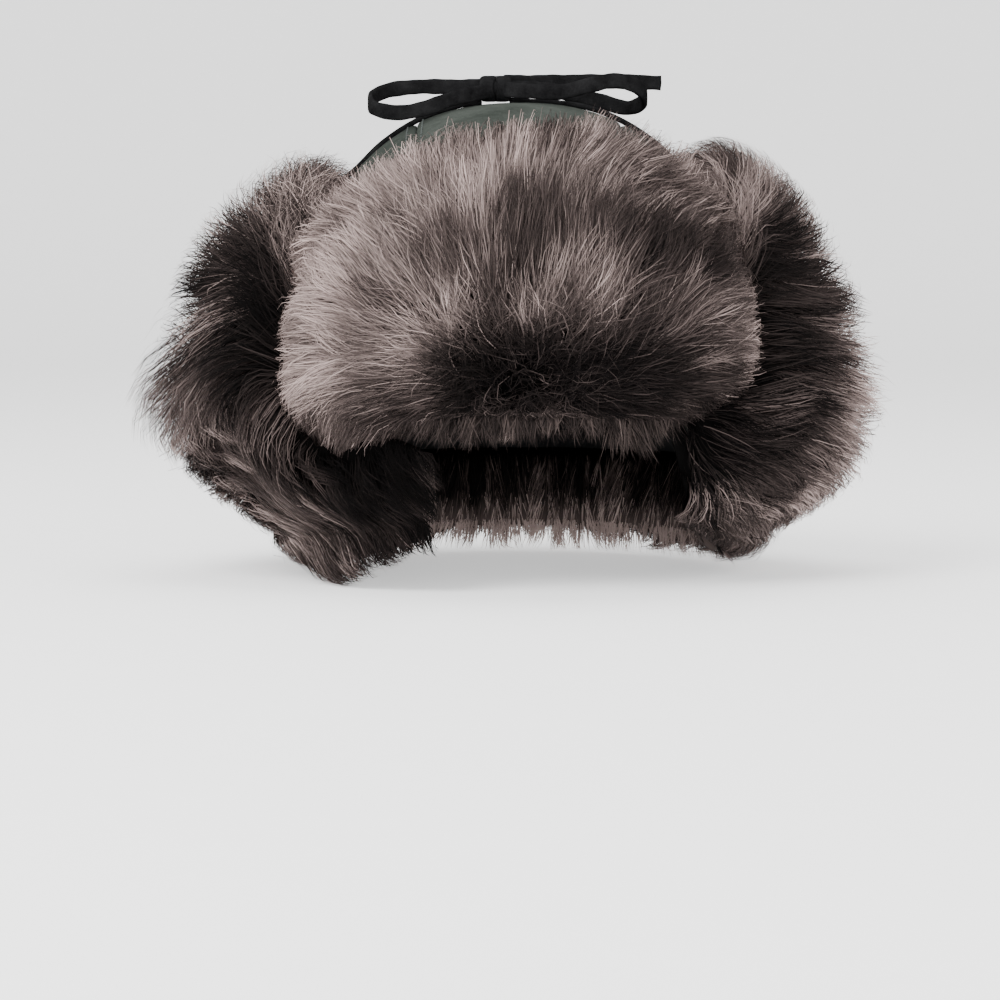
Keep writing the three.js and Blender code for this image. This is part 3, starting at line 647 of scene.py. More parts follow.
def side_grid(seam, columns=96, over=28, down=8):
    """A side panel: each line rises from the rim to the shoulder and then runs straight in plan to the seam."""
    start = np.degrees(np.arcsin(seam / CROWN["half_width"]))
    angle = (90 + (90 - start) * np.sin(np.linspace(-1, 1, columns) * np.pi / 2))[None, :]
    wide = CROWN["half_width"] * np.sin(np.radians(angle))
    share = np.sin(np.linspace(0, 1, over) * np.pi / 2)[:, None]
    x = wide + (seam - wide) * share
    y = -CROWN["half_length"] * np.cos(np.radians(angle)) + 0 * x
    turned, height = on_dome(x, y)
    wall = np.linspace(0, 1, down, endpoint=False)[:, None]
    lower = rim_height(angle) + (CROWN["shoulder"] - rim_height(angle)) * wall
    from_seam = np.vstack([wide - seam + 0 * wall, x - seam])
    return np.vstack([angle + 0 * wall, turned]), np.vstack([lower, height]), from_seam


def panel(name, angle, height, from_seam, side):
    """A panel's wall between its outer face, dipped at the seams, and an inner face at the suede's thickness."""
    along = crown_point(angle, height)[..., 1]
    dip = turned_edge(from_seam, along)
    outer = crown_point(side * angle, height, soft_dents(crown_point(side * angle, height)) * 0.6 - dip)
    inner = crown_point(side * angle, height, -CROWN["wall"] + 0 * angle)
    made = piece(name, *shell(outer, inner), CROWN_SUEDE, [name.replace("panel", "crown")])


panel("panel_center", *centre_grid(SEAM - GAP / 2), 1)
for name, side in (("panel_left", 1), ("panel_right", -1)):
    panel(name, *side_grid(SEAM + GAP / 2), side)

# %% [markdown]
# ## The stitches
# Beside each seam a row of stitches holds the turned edge on either side. A curve with a repeated object along it
# would do, but a few hundred stitches are quickly worked out as one mesh: the row's line is measured along the dome,
# and a small spindle is set at each step.

# %% Stitches
STITCH = {"length": 2.7, "radius": 0.42, "step": 3.7, "beside": 3.2, "sides": 6}


def stitch_shapes(places, along, out):
    """One short thread per place: a spindle of five rings of six points, half sunk in the suede."""
    at = np.array([-1, -0.75, 0, 0.75, 1.0])
    size = np.array([0.01, 0.75, 1, 0.75, 0.01])
    turn = np.linspace(0, 2 * np.pi, STITCH["sides"], endpoint=False)
    side = unit(np.cross(out, along))
    ring = side[:, None, None] * np.cos(turn)[:, None] + out[:, None, None] * np.sin(turn)[:, None]
    core = places[:, None, None] + along[:, None, None] * (at * STITCH["length"] / 2)[:, None, None]
    body = core + ring * (STITCH["radius"] * size)[:, None, None]
    one = cells(len(at), len(turn), round_columns=True)
    starts = np.arange(len(places))[:, None, None] * len(at) * len(turn)
    return body.reshape(-1, 3), (one[None] + starts).reshape(-1, 3)


rows = []
for seam_side in (-1, 1):
    for beside in (-STITCH["beside"], STITCH["beside"]):
        y = np.linspace(-1, 1, 1600) * CROWN["half_length"] * math.sqrt(1 - (SEAM / CROWN["half_width"]) ** 2)
        angle, height = on_dome(np.full_like(y, seam_side * (SEAM + beside)), y)
        line = crown_point(angle, height, 0.15 + 0 * y)
        line += soft_dents(line)[:, None] * 0.6 * unit(line - (0, 0, 60))
        length = np.concatenate([[0], np.cumsum(np.linalg.norm(np.diff(line, axis=0), axis=1))])
        stops = np.arange(2, length[-1], STITCH["step"])
        spots = np.stack([np.interp(stops, length, line[:, k]) for k in range(3)], -1)
        rows.append(stitch_shapes(spots, unit(np.gradient(spots, axis=0)), unit(spots - (0, 0, 60))))
stitches = piece("crown_stitches", *join(*rows), THREAD, closed=False)

# %% [markdown]
# ## The lining
# Inside the crown is a black quilted lining. Its quilting is two families of lines that cross, each a valley, so its
# depth is the product of two rectified sines. It is one closed wall of two domes.

# %% Lining
QUILT = {"thin": 0.9, "swell": 1.5, "turns": 6, "slant": 9}
WALL_SHARE = 0.3  # this share of the lining's lines is the upright wall, and the rest the dome
around, up = 120, 32
angle = np.arange(around)[:, None] * 360 / around - 180
rims = rim_height(angle)
climb = np.linspace(0, 1, up)[None, :]
over = np.sin(np.clip((climb - WALL_SHARE) / 0.7, 0, 1) * np.pi / 2) ** (2 / CROWN["power"])
upright_wall = rims + (CROWN["shoulder"] - rims) * climb / WALL_SHARE
dome = CROWN["shoulder"] + (CROWN["top"] - CROWN["shoulder"]) * over
height = np.where(climb < WALL_SHARE, upright_wall, dome)
turned, slanted = np.radians(QUILT["turns"] * angle), QUILT["slant"] * climb
quilting = np.abs(np.sin(turned + slanted) * np.sin(turned - slanted)) ** 0.5
depth = CROWN["wall"] + GAP
swell = QUILT["swell"] * quilting * np.clip((1 - climb) * 4, 0, 1)
outer = crown_point(angle + 0 * climb, height, -depth + 0 * height)
inner = crown_point(angle + 0 * climb, height, -depth - QUILT["thin"] - swell)
for face, sunk in ((outer, depth), (inner, depth + QUILT["thin"])):
    face[:, -1] = (0, 0, CROWN["top"] - sunk)
domes = shell(outer.transpose(1, 0, 2), inner.transpose(1, 0, 2), round_columns=True)
lining = piece("quilted_lining", *domes, LINING, ["crown_lining"])

# %% [markdown]
# ## The flaps' skins
# A flap is one skin with the hair left on it: suede outside when it is turned down, which is the side against the
# crown now. The skin rises from the fold, bows out over the ear and comes back to the crown at its top edge.

# %% Skins
FLAPS = {"front_flap": BROW, "ear_flap_left": LEFT_EAR, "ear_flap_right": RIGHT_EAR, "neck_flap": NECK}
for name, flap in FLAPS.items():
    first, last = flap["rows"]["angle"][[0, -1]]
    inset = 2.5 if flap["ends_over"] else 0
    angle, share = np.meshgrid(np.linspace(first + inset, last - inset, 48), np.linspace(0, 1, 14))
    ripple = 0.35 * np.sin(np.radians(angle) * 23) * share**2
    outer = flap_point(flap, angle, share, 0, SKIN + ripple)
    inner = flap_point(flap, angle, share, 0, ripple)
    skin = piece("skin_" + name, *shell(outer, inner), FLAP_SUEDE, [name])

# %% [markdown]
# ## Fur
# The flaps are hide with its long hair on: nearly black at the roots, brown further up and taupe at the tips, and in
# places dark to the tips. Fur could be a particle system, but its hairs don't reach an exported model, so each hair
# here is a thin ribbon of seven triangles, or of five round the opening. A picture of fur on a plain pad would be far
# lighter, but it would have no outline.
#
# Colour goes by a map of its own: across it lie the tones from nearly black to pale taupe, one narrow column for each
# hair, and up it lies the hair from root to tip.

# %% Hair colour
tone_group, node, link, given, put_out = group(
    "hair tone",
    [("Black", COLOUR, (0.010, 0.009, 0.009, 1)), ("Brown", COLOUR, (0.085, 0.068, 0.060, 1)),
     ("Pale", COLOUR, (0.46, 0.375, 0.335, 1)), ("Root", NUMBER, 0.3)],
    [("Colour", COLOUR, None)],
)
hair_map = node("ShaderNodeUVMap", uv_map="OFBake")
split = node("ShaderNodeSeparateXYZ")
link(hair_map, "UV", split, "Vector")
low_half = node("ShaderNodeMapRange", From_Min=0.0, From_Max=0.5)
low_curve = node("ShaderNodeMath", operation="POWER")
low_curve.inputs[1].default_value = 1.6
link(low_half, "Result", low_curve, 0)
high_half = node("ShaderNodeMapRange", From_Min=0.5, From_Max=1.0)
link(split, "X", low_half, "Value")
link(split, "X", high_half, "Value")
darks = node("ShaderNodeMix", data_type="RGBA")
lights = node("ShaderNodeMix", data_type="RGBA")
link(low_curve, "Value", darks, "Factor")
link(given, "Black", darks, MIX_A)
link(given, "Brown", darks, MIX_B)
link(high_half, "Result", lights, "Factor")
link(darks, MIXED, lights, MIX_A)
link(given, "Pale", lights, MIX_B)
# Towards the root the colour is multiplied down to the Root value: partly the hair's own darker root, and partly
# painted shade deep between the hairs.
root_darkening_and_shade = node("ShaderNodeMapRange", From_Min=0.02, From_Max=0.38, interpolation_type="SMOOTHSTEP")
link(split, "Y", root_darkening_and_shade, "Value")
link(given, "Root", root_darkening_and_shade, "To Min")
shaded = node("ShaderNodeMix", data_type="RGBA", blend_type="MULTIPLY")
shaded.inputs["Factor"].default_value = 1.0
link(lights, MIXED, shaded, MIX_A)
link(root_darkening_and_shade, "Result", shaded, MIX_B)
warm = node("ShaderNodeTexNoise", Scale=60.0, Detail=2.0)
link(hair_map, "UV", warm, "Vector")
shift = node("ShaderNodeMapRange", From_Min=0.3, From_Max=0.7, To_Min=0.485, To_Max=0.515)
link(warm, "Fac", shift, "Value")
hue = node("ShaderNodeHueSaturation")
link(shift, "Result", hue, "Hue")
link(shaded, MIXED, hue, "Color")
link(hue, "Color", put_out, "Colour")
print("hair tone group:", len(tone_group.nodes), "nodes")


# %% Two kinds of fur
def hair(name, black, brown, pale, root):
    """Hair of three tones, darker at its root: partly its own darker root, and partly painted shade deep in the fur.
    """
    made, shader = material(name, 0.75, 0.02)
    node, link = links_of(made.node_tree)
    tones = node("ShaderNodeGroup", node_tree=tone_group)
    for title, value in (("Black", black), ("Brown", brown), ("Pale", pale)):
        tones.inputs[title].default_value = (*value, 1)
    tones.inputs["Root"].default_value = root
    link(tones, "Colour", shader, "Base Color")
    return made


FUR = hair("fur", (0.0025, 0.0022, 0.0022), (0.060, 0.0455, 0.0425), (0.445, 0.345, 0.320), 0.17)
RIM_FUR = hair("rim_fur", (0.004, 0.0036, 0.0036), (0.066, 0.050, 0.046), (0.33, 0.258, 0.238), 0.25)
print("furs:", FUR.name, "and", RIM_FUR.name)

# %% [markdown]
# ## Combing
# What makes hair look like fur is how it is combed. A comb table gives, at a few places on a flap, the way the hair
# lies, how light its tips are, how long it is in mm and how tangled. They are read from the photo. Every root blends
# the rows nearest to it and follows them step by step, so the hair bends where the comb does. Painting the lie with a
# brush in particle mode would do the same by hand, but a table can be read and changed.

# %% The brow's comb
COMB = "angle share round up tone length frizz"
BROW_COMB = table(
    COMB,
    (-54, -0.12, -0.7, -1, 0.52, 38, 0.4), (-54, 0.06, -0.9, -0.6, 0.6, 36, 0.22), (-54, 0.3, -1, 0, 0.78, 36, 0.05),
    (-54, 0.6, -1, 0.25, 0.8, 34, 0.05), (-54, 0.9, -0.9, 0.5, 0.72, 30, 0.1), (-42, -0.12, -0.6, -1, 0.42, 36, 0.4),
    (-42, 0.04, -0.9, -0.6, 0.57, 38, 0.22), (-40, 0.25, -1, 0.02, 0.76, 38, 0.05),
    (-34, 0.12, -1, -0.15, 0.5, 36, 0.08), (-23, 0.3, -1, 0.4, 0.62, 34, 0.1), (-23, 0.14, -1, 0, 0.3, 32, 0.15),
    (-40, 0.5, -0.9, 0.4, 0.78, 38, 0.05), (-40, 0.8, -0.7, 0.75, 0.75, 34, 0.05),
    (-27, -0.1, -0.7, -0.8, 0.25, 24, 0.3), (-27, 0.05, -1, -0.2, 0.18, 34, 0.15),
    (-29, 0.28, -1, 0.15, 0.56, 36, 0.08), (-27, 0.45, -0.75, 0.6, 0.6, 38, 0.05),
    (-30, 0.63, -0.6, 0.8, 0.62, 36, 0.05), (-25, 0.95, -0.6, 0.9, 0.68, 34, 0.08),
    (-14, 0.02, -1, -0.35, 0.08, 24, 0.3), (-14, 0.2, -0.8, 0.4, 0.06, 22, 0.6),
    (-14, 0.47, -0.35, 0.95, 0.66, 36, 0.06), (-14, 0.7, -0.25, 1, 0.33, 38, 0.06),
    (-12, 0.92, -0.15, 1, 0.74, 36, 0.08), (-20, -0.14, -0.3, -1, 0.36, 13, 0.15),
    (-8, -0.14, -0.2, -1, 0.4, 13, 0.15), (5, -0.14, 0, -1, 0.4, 13, 0.15), (18, -0.14, 0.2, -1, 0.36, 13, 0.15),
    (34, -0.14, 0.3, -1, 0.3, 13, 0.15), (2, 0.04, 0.1, -0.5, 0.06, 15, 0.8), (-6, 0.17, -0.4, 0.3, 0.04, 20, 1.2),
    (10, 0.17, 0.5, 0.2, 0.04, 20, 1.2), (2, 0.27, 0, 0.8, 0.08, 22, 0.5), (2, 0.46, 0, 1, 0.63, 36, 0.06),
    (2, 0.58, 0, 1, 0.4, 38, 0.06), (2, 0.72, 0, 1, 0.32, 38, 0.06), (2, 0.84, 0.1, 1, 0.42, 36, 0.07),
    (2, 0.92, 0.2, 1, 0.72, 36, 0.08), (18, 0.02, 0.95, -0.35, 0.05, 24, 0.3), (20, 0.2, 0.8, 0.4, 0.06, 26, 0.5),
    (16, 0.48, 0.3, 0.95, 0.58, 36, 0.06), (16, 0.72, 0.3, 1, 0.3, 38, 0.07), (16, 0.85, 0.5, 0.9, 0.42, 36, 0.08),
    (16, 0.95, 0.7, 0.8, 0.66, 36, 0.1), (30, 0, 1, -0.4, 0.1, 26, 0.2), (30, 0.08, 0.9, -0.1, 0.06, 30, 0.2),
    (30, 0.22, 0.85, 0.4, 0.12, 34, 0.12), (30, 0.45, 0.6, 0.85, 0.36, 38, 0.06), (30, 0.7, 0.6, 0.8, 0.24, 38, 0.09),
    (30, 0.95, 0.95, 0.5, 0.6, 34, 0.1), (44, 0, 0.8, -0.7, 0.25, 32, 0.35), (44, 0.25, 1, 0.2, 0.35, 34, 0.1),
    (44, 0.5, 0.85, 0.5, 0.5, 34, 0.08), (44, 0.75, 0.6, 0.7, 0.15, 30, 0.12), (44, 1, 0.8, 0.6, 0.6, 28, 0.15),
    (55, 0.05, 0.9, -0.4, 0.4, 28, 0.3), (55, 0.35, 1, 0.05, 0.75, 26, 0.1), (55, 0.65, 0.7, 0.5, 0.7, 24, 0.15),
    (55, 0.95, 0.5, 0.8, 0.45, 24, 0.2),
)
print("brow:", len(BROW_COMB["angle"]), "rows")

# %% The ears' and the neck's combs
LEFT_COMB = table(
    COMB,
    (43, 0.9, -0.7, -0.3, 0.05, 22, 0.2), (43, 0.5, -0.6, -0.8, 0.15, 24, 0.2),
    (43, 0.05, -0.3, -0.9, 0.24, 18, 0.15), (46, 0.9, 0.8, -0.3, 0.1, 30, 0.1), (46, 0.5, 0.7, -0.7, 0.3, 32, 0.1),
    (46, 0.1, 0.6, -0.8, 0.3, 22, 0.12), (54, 0.95, 0.5, 0.2, 0.06, 32, 0.1), (54, 0.7, 0.8, -0.5, 0.06, 34, 0.1),
    (54, 0.4, 0.85, -0.55, 0.2, 36, 0.08), (54, 0.1, 0.8, -0.6, 0.32, 28, 0.12), (62, 1, 0.5, 0.8, 0.5, 30, 0.15),
    (62, 0.8, 0.35, -0.6, 0.02, 38, 0.08), (62, 0.5, 0.8, -0.4, 0.06, 38, 0.08), (62, 0.2, 0.9, -0.5, 0.38, 34, 0.1),
    (72, 1, 0.5, 0.85, 0.6, 28, 0.2), (72, 0.8, 0.7, 0.3, 0.06, 34, 0.1), (72, 0.5, 0.9, -0.3, 0.16, 36, 0.1),
    (78, 0.42, 0.9, -0.25, 0.78, 36, 0.12), (77, 0.58, 0.85, 0.1, 0.5, 36, 0.1),
    (72, 0.2, 0.9, -0.45, 0.46, 34, 0.18), (84, 1, 0.4, 0.9, 0.62, 28, 0.2), (84, 0.75, 0.8, 0.35, 0.62, 34, 0.12),
    (84, 0.5, 0.9, -0.2, 0.8, 36, 0.12), (84, 0.25, 0.9, -0.45, 0.8, 36, 0.14), (84, 0.05, 0.8, -0.6, 0.56, 32, 0.3),
    (100, 1, 0.4, 0.9, 0.5, 28, 0.15), (100, 0.6, 0.7, 0.6, 0.68, 36, 0.08), (100, 0.2, 0.8, -0.5, 0.68, 34, 0.1),
    (118, 1, 0.4, 0.9, 0.5, 26, 0.15), (118, 0.5, 0.5, 0.8, 0.4, 36, 0.08), (118, 0.1, 0.6, -0.9, 0.45, 30, 0.1),
    (130, 0.5, 0.5, 0.7, 0.45, 34, 0.08),
)
# Beside the brow flap these tones hold painted light and shade: the near-black rows from -71 to -26 degrees are
# painted shade under the brow flap, and the rows at -50 degrees are lighter, partly the ear's own lighter streaks and
# partly painted light against the shade in the gap between the two furs. The light rows at -82 and -100 degrees low on
# the ear are painted light along its outline.
RIGHT_COMB = table(
    COMB,
    (-64, 1, -0.5, 0.7, 0.48, 24, 0.8), (-71, 1, -0.6, 0.7, 0.54, 24, 0.8), (-71, 0.85, -0.7, 0.2, 0.1, 26, 0.8),
    (-64, 0.85, -0.8, 0.3, 0.08, 26, 0.75), (-85, 0.95, -0.6, 0.6, 0.52, 26, 0.6),
    (-82, 0.75, -0.6, 0.2, 0.07, 30, 0.2), (-60, 0.78, -1, 0, 0.05, 28, 0.2), (-62, 0.62, -0.6, -0.5, 0.03, 28, 0.05),
    (-66, 0.62, -0.3, -1, 0.2, 36, 0.03), (-72, 0.6, -0.1, -1, 0.42, 40, 0.03), (-80, 0.55, 0, -1, 0.48, 40, 0.05),
    (-60, 0.5, 0.5, -0.6, 0.06, 30, 0.05), (-66, 0.45, 0.4, -0.9, 0.34, 38, 0.03),
    (-74, 0.4, 0.35, -0.95, 0.44, 40, 0.03), (-82, 0.35, 0.5, -0.8, 0.52, 38, 0.05),
    (-58, 0.35, 1, 0, 0.36, 36, 0.05), (-66, 0.28, 1, -0.2, 0.42, 40, 0.04), (-74, 0.2, 1, -0.15, 0.48, 40, 0.05),
    (-84, 0.15, 1, -0.15, 0.54, 34, 0.08), (-62, 0.12, 0.85, -0.45, 0.5, 34, 0.15),
    (-70, 0.05, 0.9, -0.35, 0.52, 34, 0.15), (-50, 0.6, 1, -0.1, 0.34, 36, 0.05), (-50, 0.2, 1, -0.1, 0.42, 36, 0.08),
    (-50, 0, 0.7, -0.7, 0.34, 26, 0.25), (-44, 0.8, 0.9, -0.1, 0.06, 32, 0.08), (-44, 0.3, 0.8, -0.5, 0.15, 30, 0.1),
    (-44, 0, 0.5, -0.9, 0.26, 24, 0.25), (-36, 0.7, 0.6, -0.5, 0.02, 26, 0.1), (-36, 0.3, 0.5, -0.8, 0.02, 24, 0.12),
    (-35, 0, 0.4, -1, 0.18, 22, 0.25), (-26, 0.7, 0.6, -0.8, 0.02, 22, 0.1), (-26, 0.35, 0.7, -0.9, 0.05, 20, 0.12),
    (-26, 0, 0.4, -1, 0.12, 17, 0.12), (-100, 1, -0.5, 0.8, 0.5, 28, 0.15), (-100, 0.6, -0.7, 0.6, 0.45, 36, 0.08),
    (-100, 0.2, -0.6, -0.7, 0.5, 34, 0.1), (-118, 1, -0.4, 0.9, 0.5, 26, 0.15), (-118, 0.5, -0.5, 0.8, 0.4, 36, 0.08),
    (-118, 0.1, -0.6, -0.9, 0.45, 30, 0.1), (-130, 0.5, -0.5, 0.7, 0.45, 34, 0.08),
)
NECK_COMB = table(
    COMB,
    (134, 0.8, -0.5, 0.8, 0.5, 30, 0.1), (134, 0.1, -0.5, -0.8, 0.45, 30, 0.1), (150, 0.85, -0.5, 0.9, 0.62, 32, 0.1),
    (150, 0.45, -0.7, 0.5, 0.5, 34, 0.08), (150, 0.05, -0.4, -1, 0.4, 28, 0.1), (165, 0.9, -0.3, 1, 0.62, 32, 0.1),
    (165, 0.5, -0.4, 0.9, 0.36, 36, 0.06), (165, 0.1, -0.3, -0.9, 0.44, 28, 0.3), (180, 0.9, 0, 1, 0.6, 32, 0.1),
    (180, 0.5, 0, 1, 0.32, 36, 0.06), (180, 0.16, 0.2, 0.9, 0.42, 26, 0.9), (180, -0.05, 0.1, -1, 0.46, 24, 0.4),
    (195, 0.9, 0.3, 1, 0.62, 32, 0.1), (195, 0.5, 0.4, 0.9, 0.4, 36, 0.06), (195, 0.1, 0.3, -0.9, 0.44, 28, 0.3),
    (210, 0.85, 0.5, 0.9, 0.6, 32, 0.1), (210, 0.45, 0.7, 0.5, 0.5, 34, 0.08), (210, 0.05, 0.4, -1, 0.4, 28, 0.1),
    (226, 0.8, 0.5, 0.8, 0.5, 30, 0.1), (226, 0.1, 0.5, -0.8, 0.45, 30, 0.1),
)
for comb in (LEFT_COMB, RIGHT_COMB, NECK_COMB):
    print(len(comb["angle"]), "rows from", comb["angle"].min(), "to", comb["angle"].max(), "degrees")

# %% A place in the fur
MM_PER_DEGREE = 2.1
PAST_EDGE = 0.25  # this share past an edge is a turn of two radians round it
WALK_PILE = 0.7  # hairs are strewn and combed along a face at this share of the pile


def fur_point(flap, angle, share, pile):
    """A place in the fur. On the leather the pile stands straight out. Past the top edge its direction turns over the
    edge and inwards, and past the fold it turns down and inwards, both as an ellipse: the full pile times the cosine
    of the turn, plus the pile past the edge times its sine."""
    angle, share = np.broadcast_arrays(np.asarray(angle, float), np.asarray(share, float))
    on_skin = np.clip(share, 0, 1)
    base = flap_point(flap, angle, on_skin, 0, SKIN)
    full = flap_point(flap, angle, on_skin, 1, SKIN) - base
    upward = unit(base - flap_point(flap, angle, on_skin - 0.02, 0, SKIN))
    top = (share > 0.5)[..., None]
    turn = np.minimum(np.abs(share - on_skin)[..., None] / PAST_EDGE * 2, np.where(top, 2.6, 1.9))
    hang = column(flap["rows"], angle, "hang")[..., None]
    away = np.where(top, 0.8 * np.linalg.norm(full, axis=-1, keepdims=True) * upward, hang * np.array([0, 0, -1.0]))
    return base + np.asarray(pile)[..., None] * (full * np.cos(turn) + away * np.sin(turn))


middle = fur_point(BROW, 0.0, 0.5, 1.0) - fur_point(BROW, 0.0, 0.5, 0.0)
print("the brow's fur is", round(float(np.linalg.norm(middle)), 1), "mm thick in the middle")


# %% Following the comb
def combed(comb, angle, share, tall):
    """The comb's columns at each place. Each row is weighted by one over the power 1.6 of its squared distance in mm
    plus 9."""
    round_to = (angle[:, None] - comb["angle"]) ** 2 * MM_PER_DEGREE**2
    far = round_to + ((share[:, None] - comb["share"]) * tall[:, None]) ** 2
    weight = (far + 9) ** -1.6
    weight /= weight.sum(1, keepdims=True)
    return {name: weight @ comb[name] for name in ("round", "up", "tone", "length", "frizz")}


def walk(flap, comb, angle, share, steps, swing, stretch):
    """Follows the comb from each root: at each step the place moves on by a share of the hair's length, in the combed
    direction turned by swing. Gives the places, and the comb's values at the roots, but the tone from two thirds up,
    where a hair shows."""
    tall = flap_height(flap, angle)
    first = here = combed(comb, angle, share, tall)
    places = [(angle, share)]
    for i in range(steps):
        way = np.arctan2(here["up"], here["round"]) + swing
        step = first["length"] * stretch / steps
        start = fur_point(flap, angle, share, WALK_PILE)
        wide = np.linalg.norm(fur_point(flap, angle + 1, share, WALK_PILE) - start, axis=-1)
        high = np.linalg.norm(fur_point(flap, angle, share + 0.02, WALK_PILE) - start, axis=-1) / 0.02
        angle = angle + np.cos(way) * step / np.maximum(wide, 0.5)
        share = share + np.sin(way) * step / np.maximum(high, 40)
        places.append((angle, share))
        here = combed(comb, angle, share, tall)
        if i == 2:
            seen = here["tone"]
    return np.array(places).transpose(1, 0, 2), {**first, "tone": seen}


walked, _ = walk(BROW, BROW_COMB, np.array([0.0]), np.array([0.5]), 4, 0.0, 1.0)
print("a hair in the brow's middle goes", np.round(walked[:, -1, 0] - walked[:, 0, 0], 2), "in angle and share")

# %% [markdown]
# ## Hairs as ribbons
# A hair could be a tube, but a tube of the same length takes three times the triangles. A ribbon that tapers to a
# point and is turned a little about its own line catches the light as a hair does.

# %% Hairs as ribbons
def ribbons(line, out, width, roll):
    """Ribbons along many lines at once. line is steps + 1 points for each hair. A ribbon's width lies across its line
    and the fur's outward direction, turned by roll, and it ends in a point."""
    along = unit(np.gradient(line, axis=0))
    flat = unit(np.cross(out, along))
    side = flat * np.cos(roll)[None, :, None] + np.cross(along, flat) * np.sin(roll)[None, :, None]
    steps, count = line.shape[0] - 1, line.shape[1]
    half = side[:-1] * (width / 2)[:, :, None]
    pairs = np.stack([line[:-1] - half, line[:-1] + half], 2).transpose(1, 0, 2, 3).reshape(count, 2 * steps, 3)
    points = np.concatenate([pairs, line[-1][:, None]], 1)
    k = np.arange(steps - 1) * 2
    one = np.concatenate([np.stack([k, k + 1, k + 3], -1), np.stack([k, k + 3, k + 2], -1)])
    one = np.vstack([one, [2 * steps - 2, 2 * steps - 1, 2 * steps]])
    starts = np.arange(count)[:, None, None] * (2 * steps + 1)
    return points.reshape(-1, 3), (one[None] + starts).reshape(-1, 3)


def hair_places(tone, steps):
    """Each hair's place on the colour map: a narrow column at its tone, from root at the bottom to tip at the top."""
    tone = np.clip(tone, 0.02, 0.98)[:, None]
    up = np.repeat(np.linspace(0.03, 0.93, steps), 2)
    across = tone + np.tile([-0.004, 0.004], steps)
    body = np.stack([across, up + 0 * across], -1)
    tip = np.stack([tone, 0 * tone + 0.98], -1)
    return np.concatenate([body, tip], 1).reshape(-1, 2)


upright_hair = np.linspace((0, 0, 0), (0, 0, 30.0), 5)[:, None]
ribbon = ribbons(upright_hair, np.array([1.0, 0, 0]) + 0 * upright_hair, np.ones((4, 1)), np.zeros(1))
print("a hair of 4 steps has", len(ribbon[0]), "points and", len(ribbon[1]), "triangles")


# %% The colour map's places and the dense pad
def paint(thing, spots):
    """Writes the colour map: one place for each point of the mesh, copied to every corner that uses it."""
    layer = thing.data.uv_layers.new(name="OFBake")
    corners = np.empty(len(thing.data.loops), np.int32)
    thing.data.loops.foreach_get("vertex_index", corners)
    layer.data.foreach_set("uv", spots[corners].astype(np.float32).ravel())


def fur_floor(flap, depth, first, last):
    """The dense fur that no light passes, as a closed pad at a share of the pile: round the fold, up over the skin,
    round the top edge, and back down just inside the skin's outer face."""
    columns = 64
    angle = np.linspace(first, last, columns)[:, None]
    shares = np.concatenate([np.linspace(-0.2, 0, 6), np.linspace(0, 1, 18)[1:], np.linspace(1, 1.2, 6)[1:]])[None, :]
    face = fur_point(flap, angle, shares, depth)
    back = flap_point(flap, angle, np.linspace(1, 0, 8)[None, :], 0, 0.8)
    loop = np.concatenate([face, back], 1)
    points, triangles = loop.reshape(-1, 3), cells(*loop.shape[:2], round_columns=True)
    around = loop.shape[1]
    rim = np.arange(around)
    for start, flip in ((0, False), (around * (columns - 1), True)):
        middle = points[start : start + around].mean(0)
        fan = np.stack([0 * rim + len(points), rim + start, np.roll(rim, -1) + start], -1)
        triangles = np.vstack([triangles, fan[:, ::-1] if flip else fan])
        points = np.vstack([points, middle])
    points[:, 2] = above_floor(points[:, 2])
    return points, triangles


def above_floor(height):
    """Heights in mm that flatten out softly towards the floor: k ln(1 + e^(z / k)) with k of 2 mm."""
    return 0.4 + 2.0 * np.log1p(np.exp(np.clip(height / 2.0, -30, 30))) * (height < 60) + height * (height >= 60)


print("heights above the floor:", {z: round(float(above_floor(z)), 1) for z in (-5.0, 0.0, 5.0, 20.0)})

# %% [markdown]
# ## Growing
# On a real hide the hairs stand in locks, and no two are equally long. Each hair here has its own walk along the comb
# and its lock's walk, and goes from the one to the other. Chance decides how far, how long it is, how light and how
# wide. A few in a hundred stray, and along the top edge and at the ends they stand further up.

# %% Roots and locks
def strew(rng, flap, many, keep):
    """Places spread evenly over the pad and a little past both edges, where keep allows them."""
    first, last = flap["rows"]["angle"][[0, -1]]
    angle = rng.uniform(first + 0.5, last - 0.5, many * 3)
    share = rng.uniform(-0.22, 1.22, many * 3)
    tall = flap_height(flap, angle)
    kept = rng.uniform(0, 1, many * 3) < tall / tall.max()
    if keep is not None:
        kept &= keep(fur_point(flap, angle, share, WALK_PILE))
    return angle[kept][:many], share[kept][:many]


def nearest_lock(angle, share, tall, lock_angle, lock_share):
    """Which lock is nearest to each root, in mm along the flap."""
    nearest = np.empty(len(angle), int)
    for part in np.array_split(np.arange(len(angle)), 1 + len(angle) // 2000):
        far = (angle[part, None] - lock_angle) ** 2 * MM_PER_DEGREE**2
        far += ((share[part, None] - lock_share) * tall[part, None]) ** 2
        nearest[part] = far.argmin(1)
    return nearest


tried, _ = strew(np.random.default_rng(0), NECK, 2000, None)
print("roots on the nape's flap lie between", tried.min().round(1), "and", tried.max().round(1), "degrees")

# %% How far the hairs reach
FARTHEST = {"anywhere": 1.4, "more_on_the_brow": 0.9}


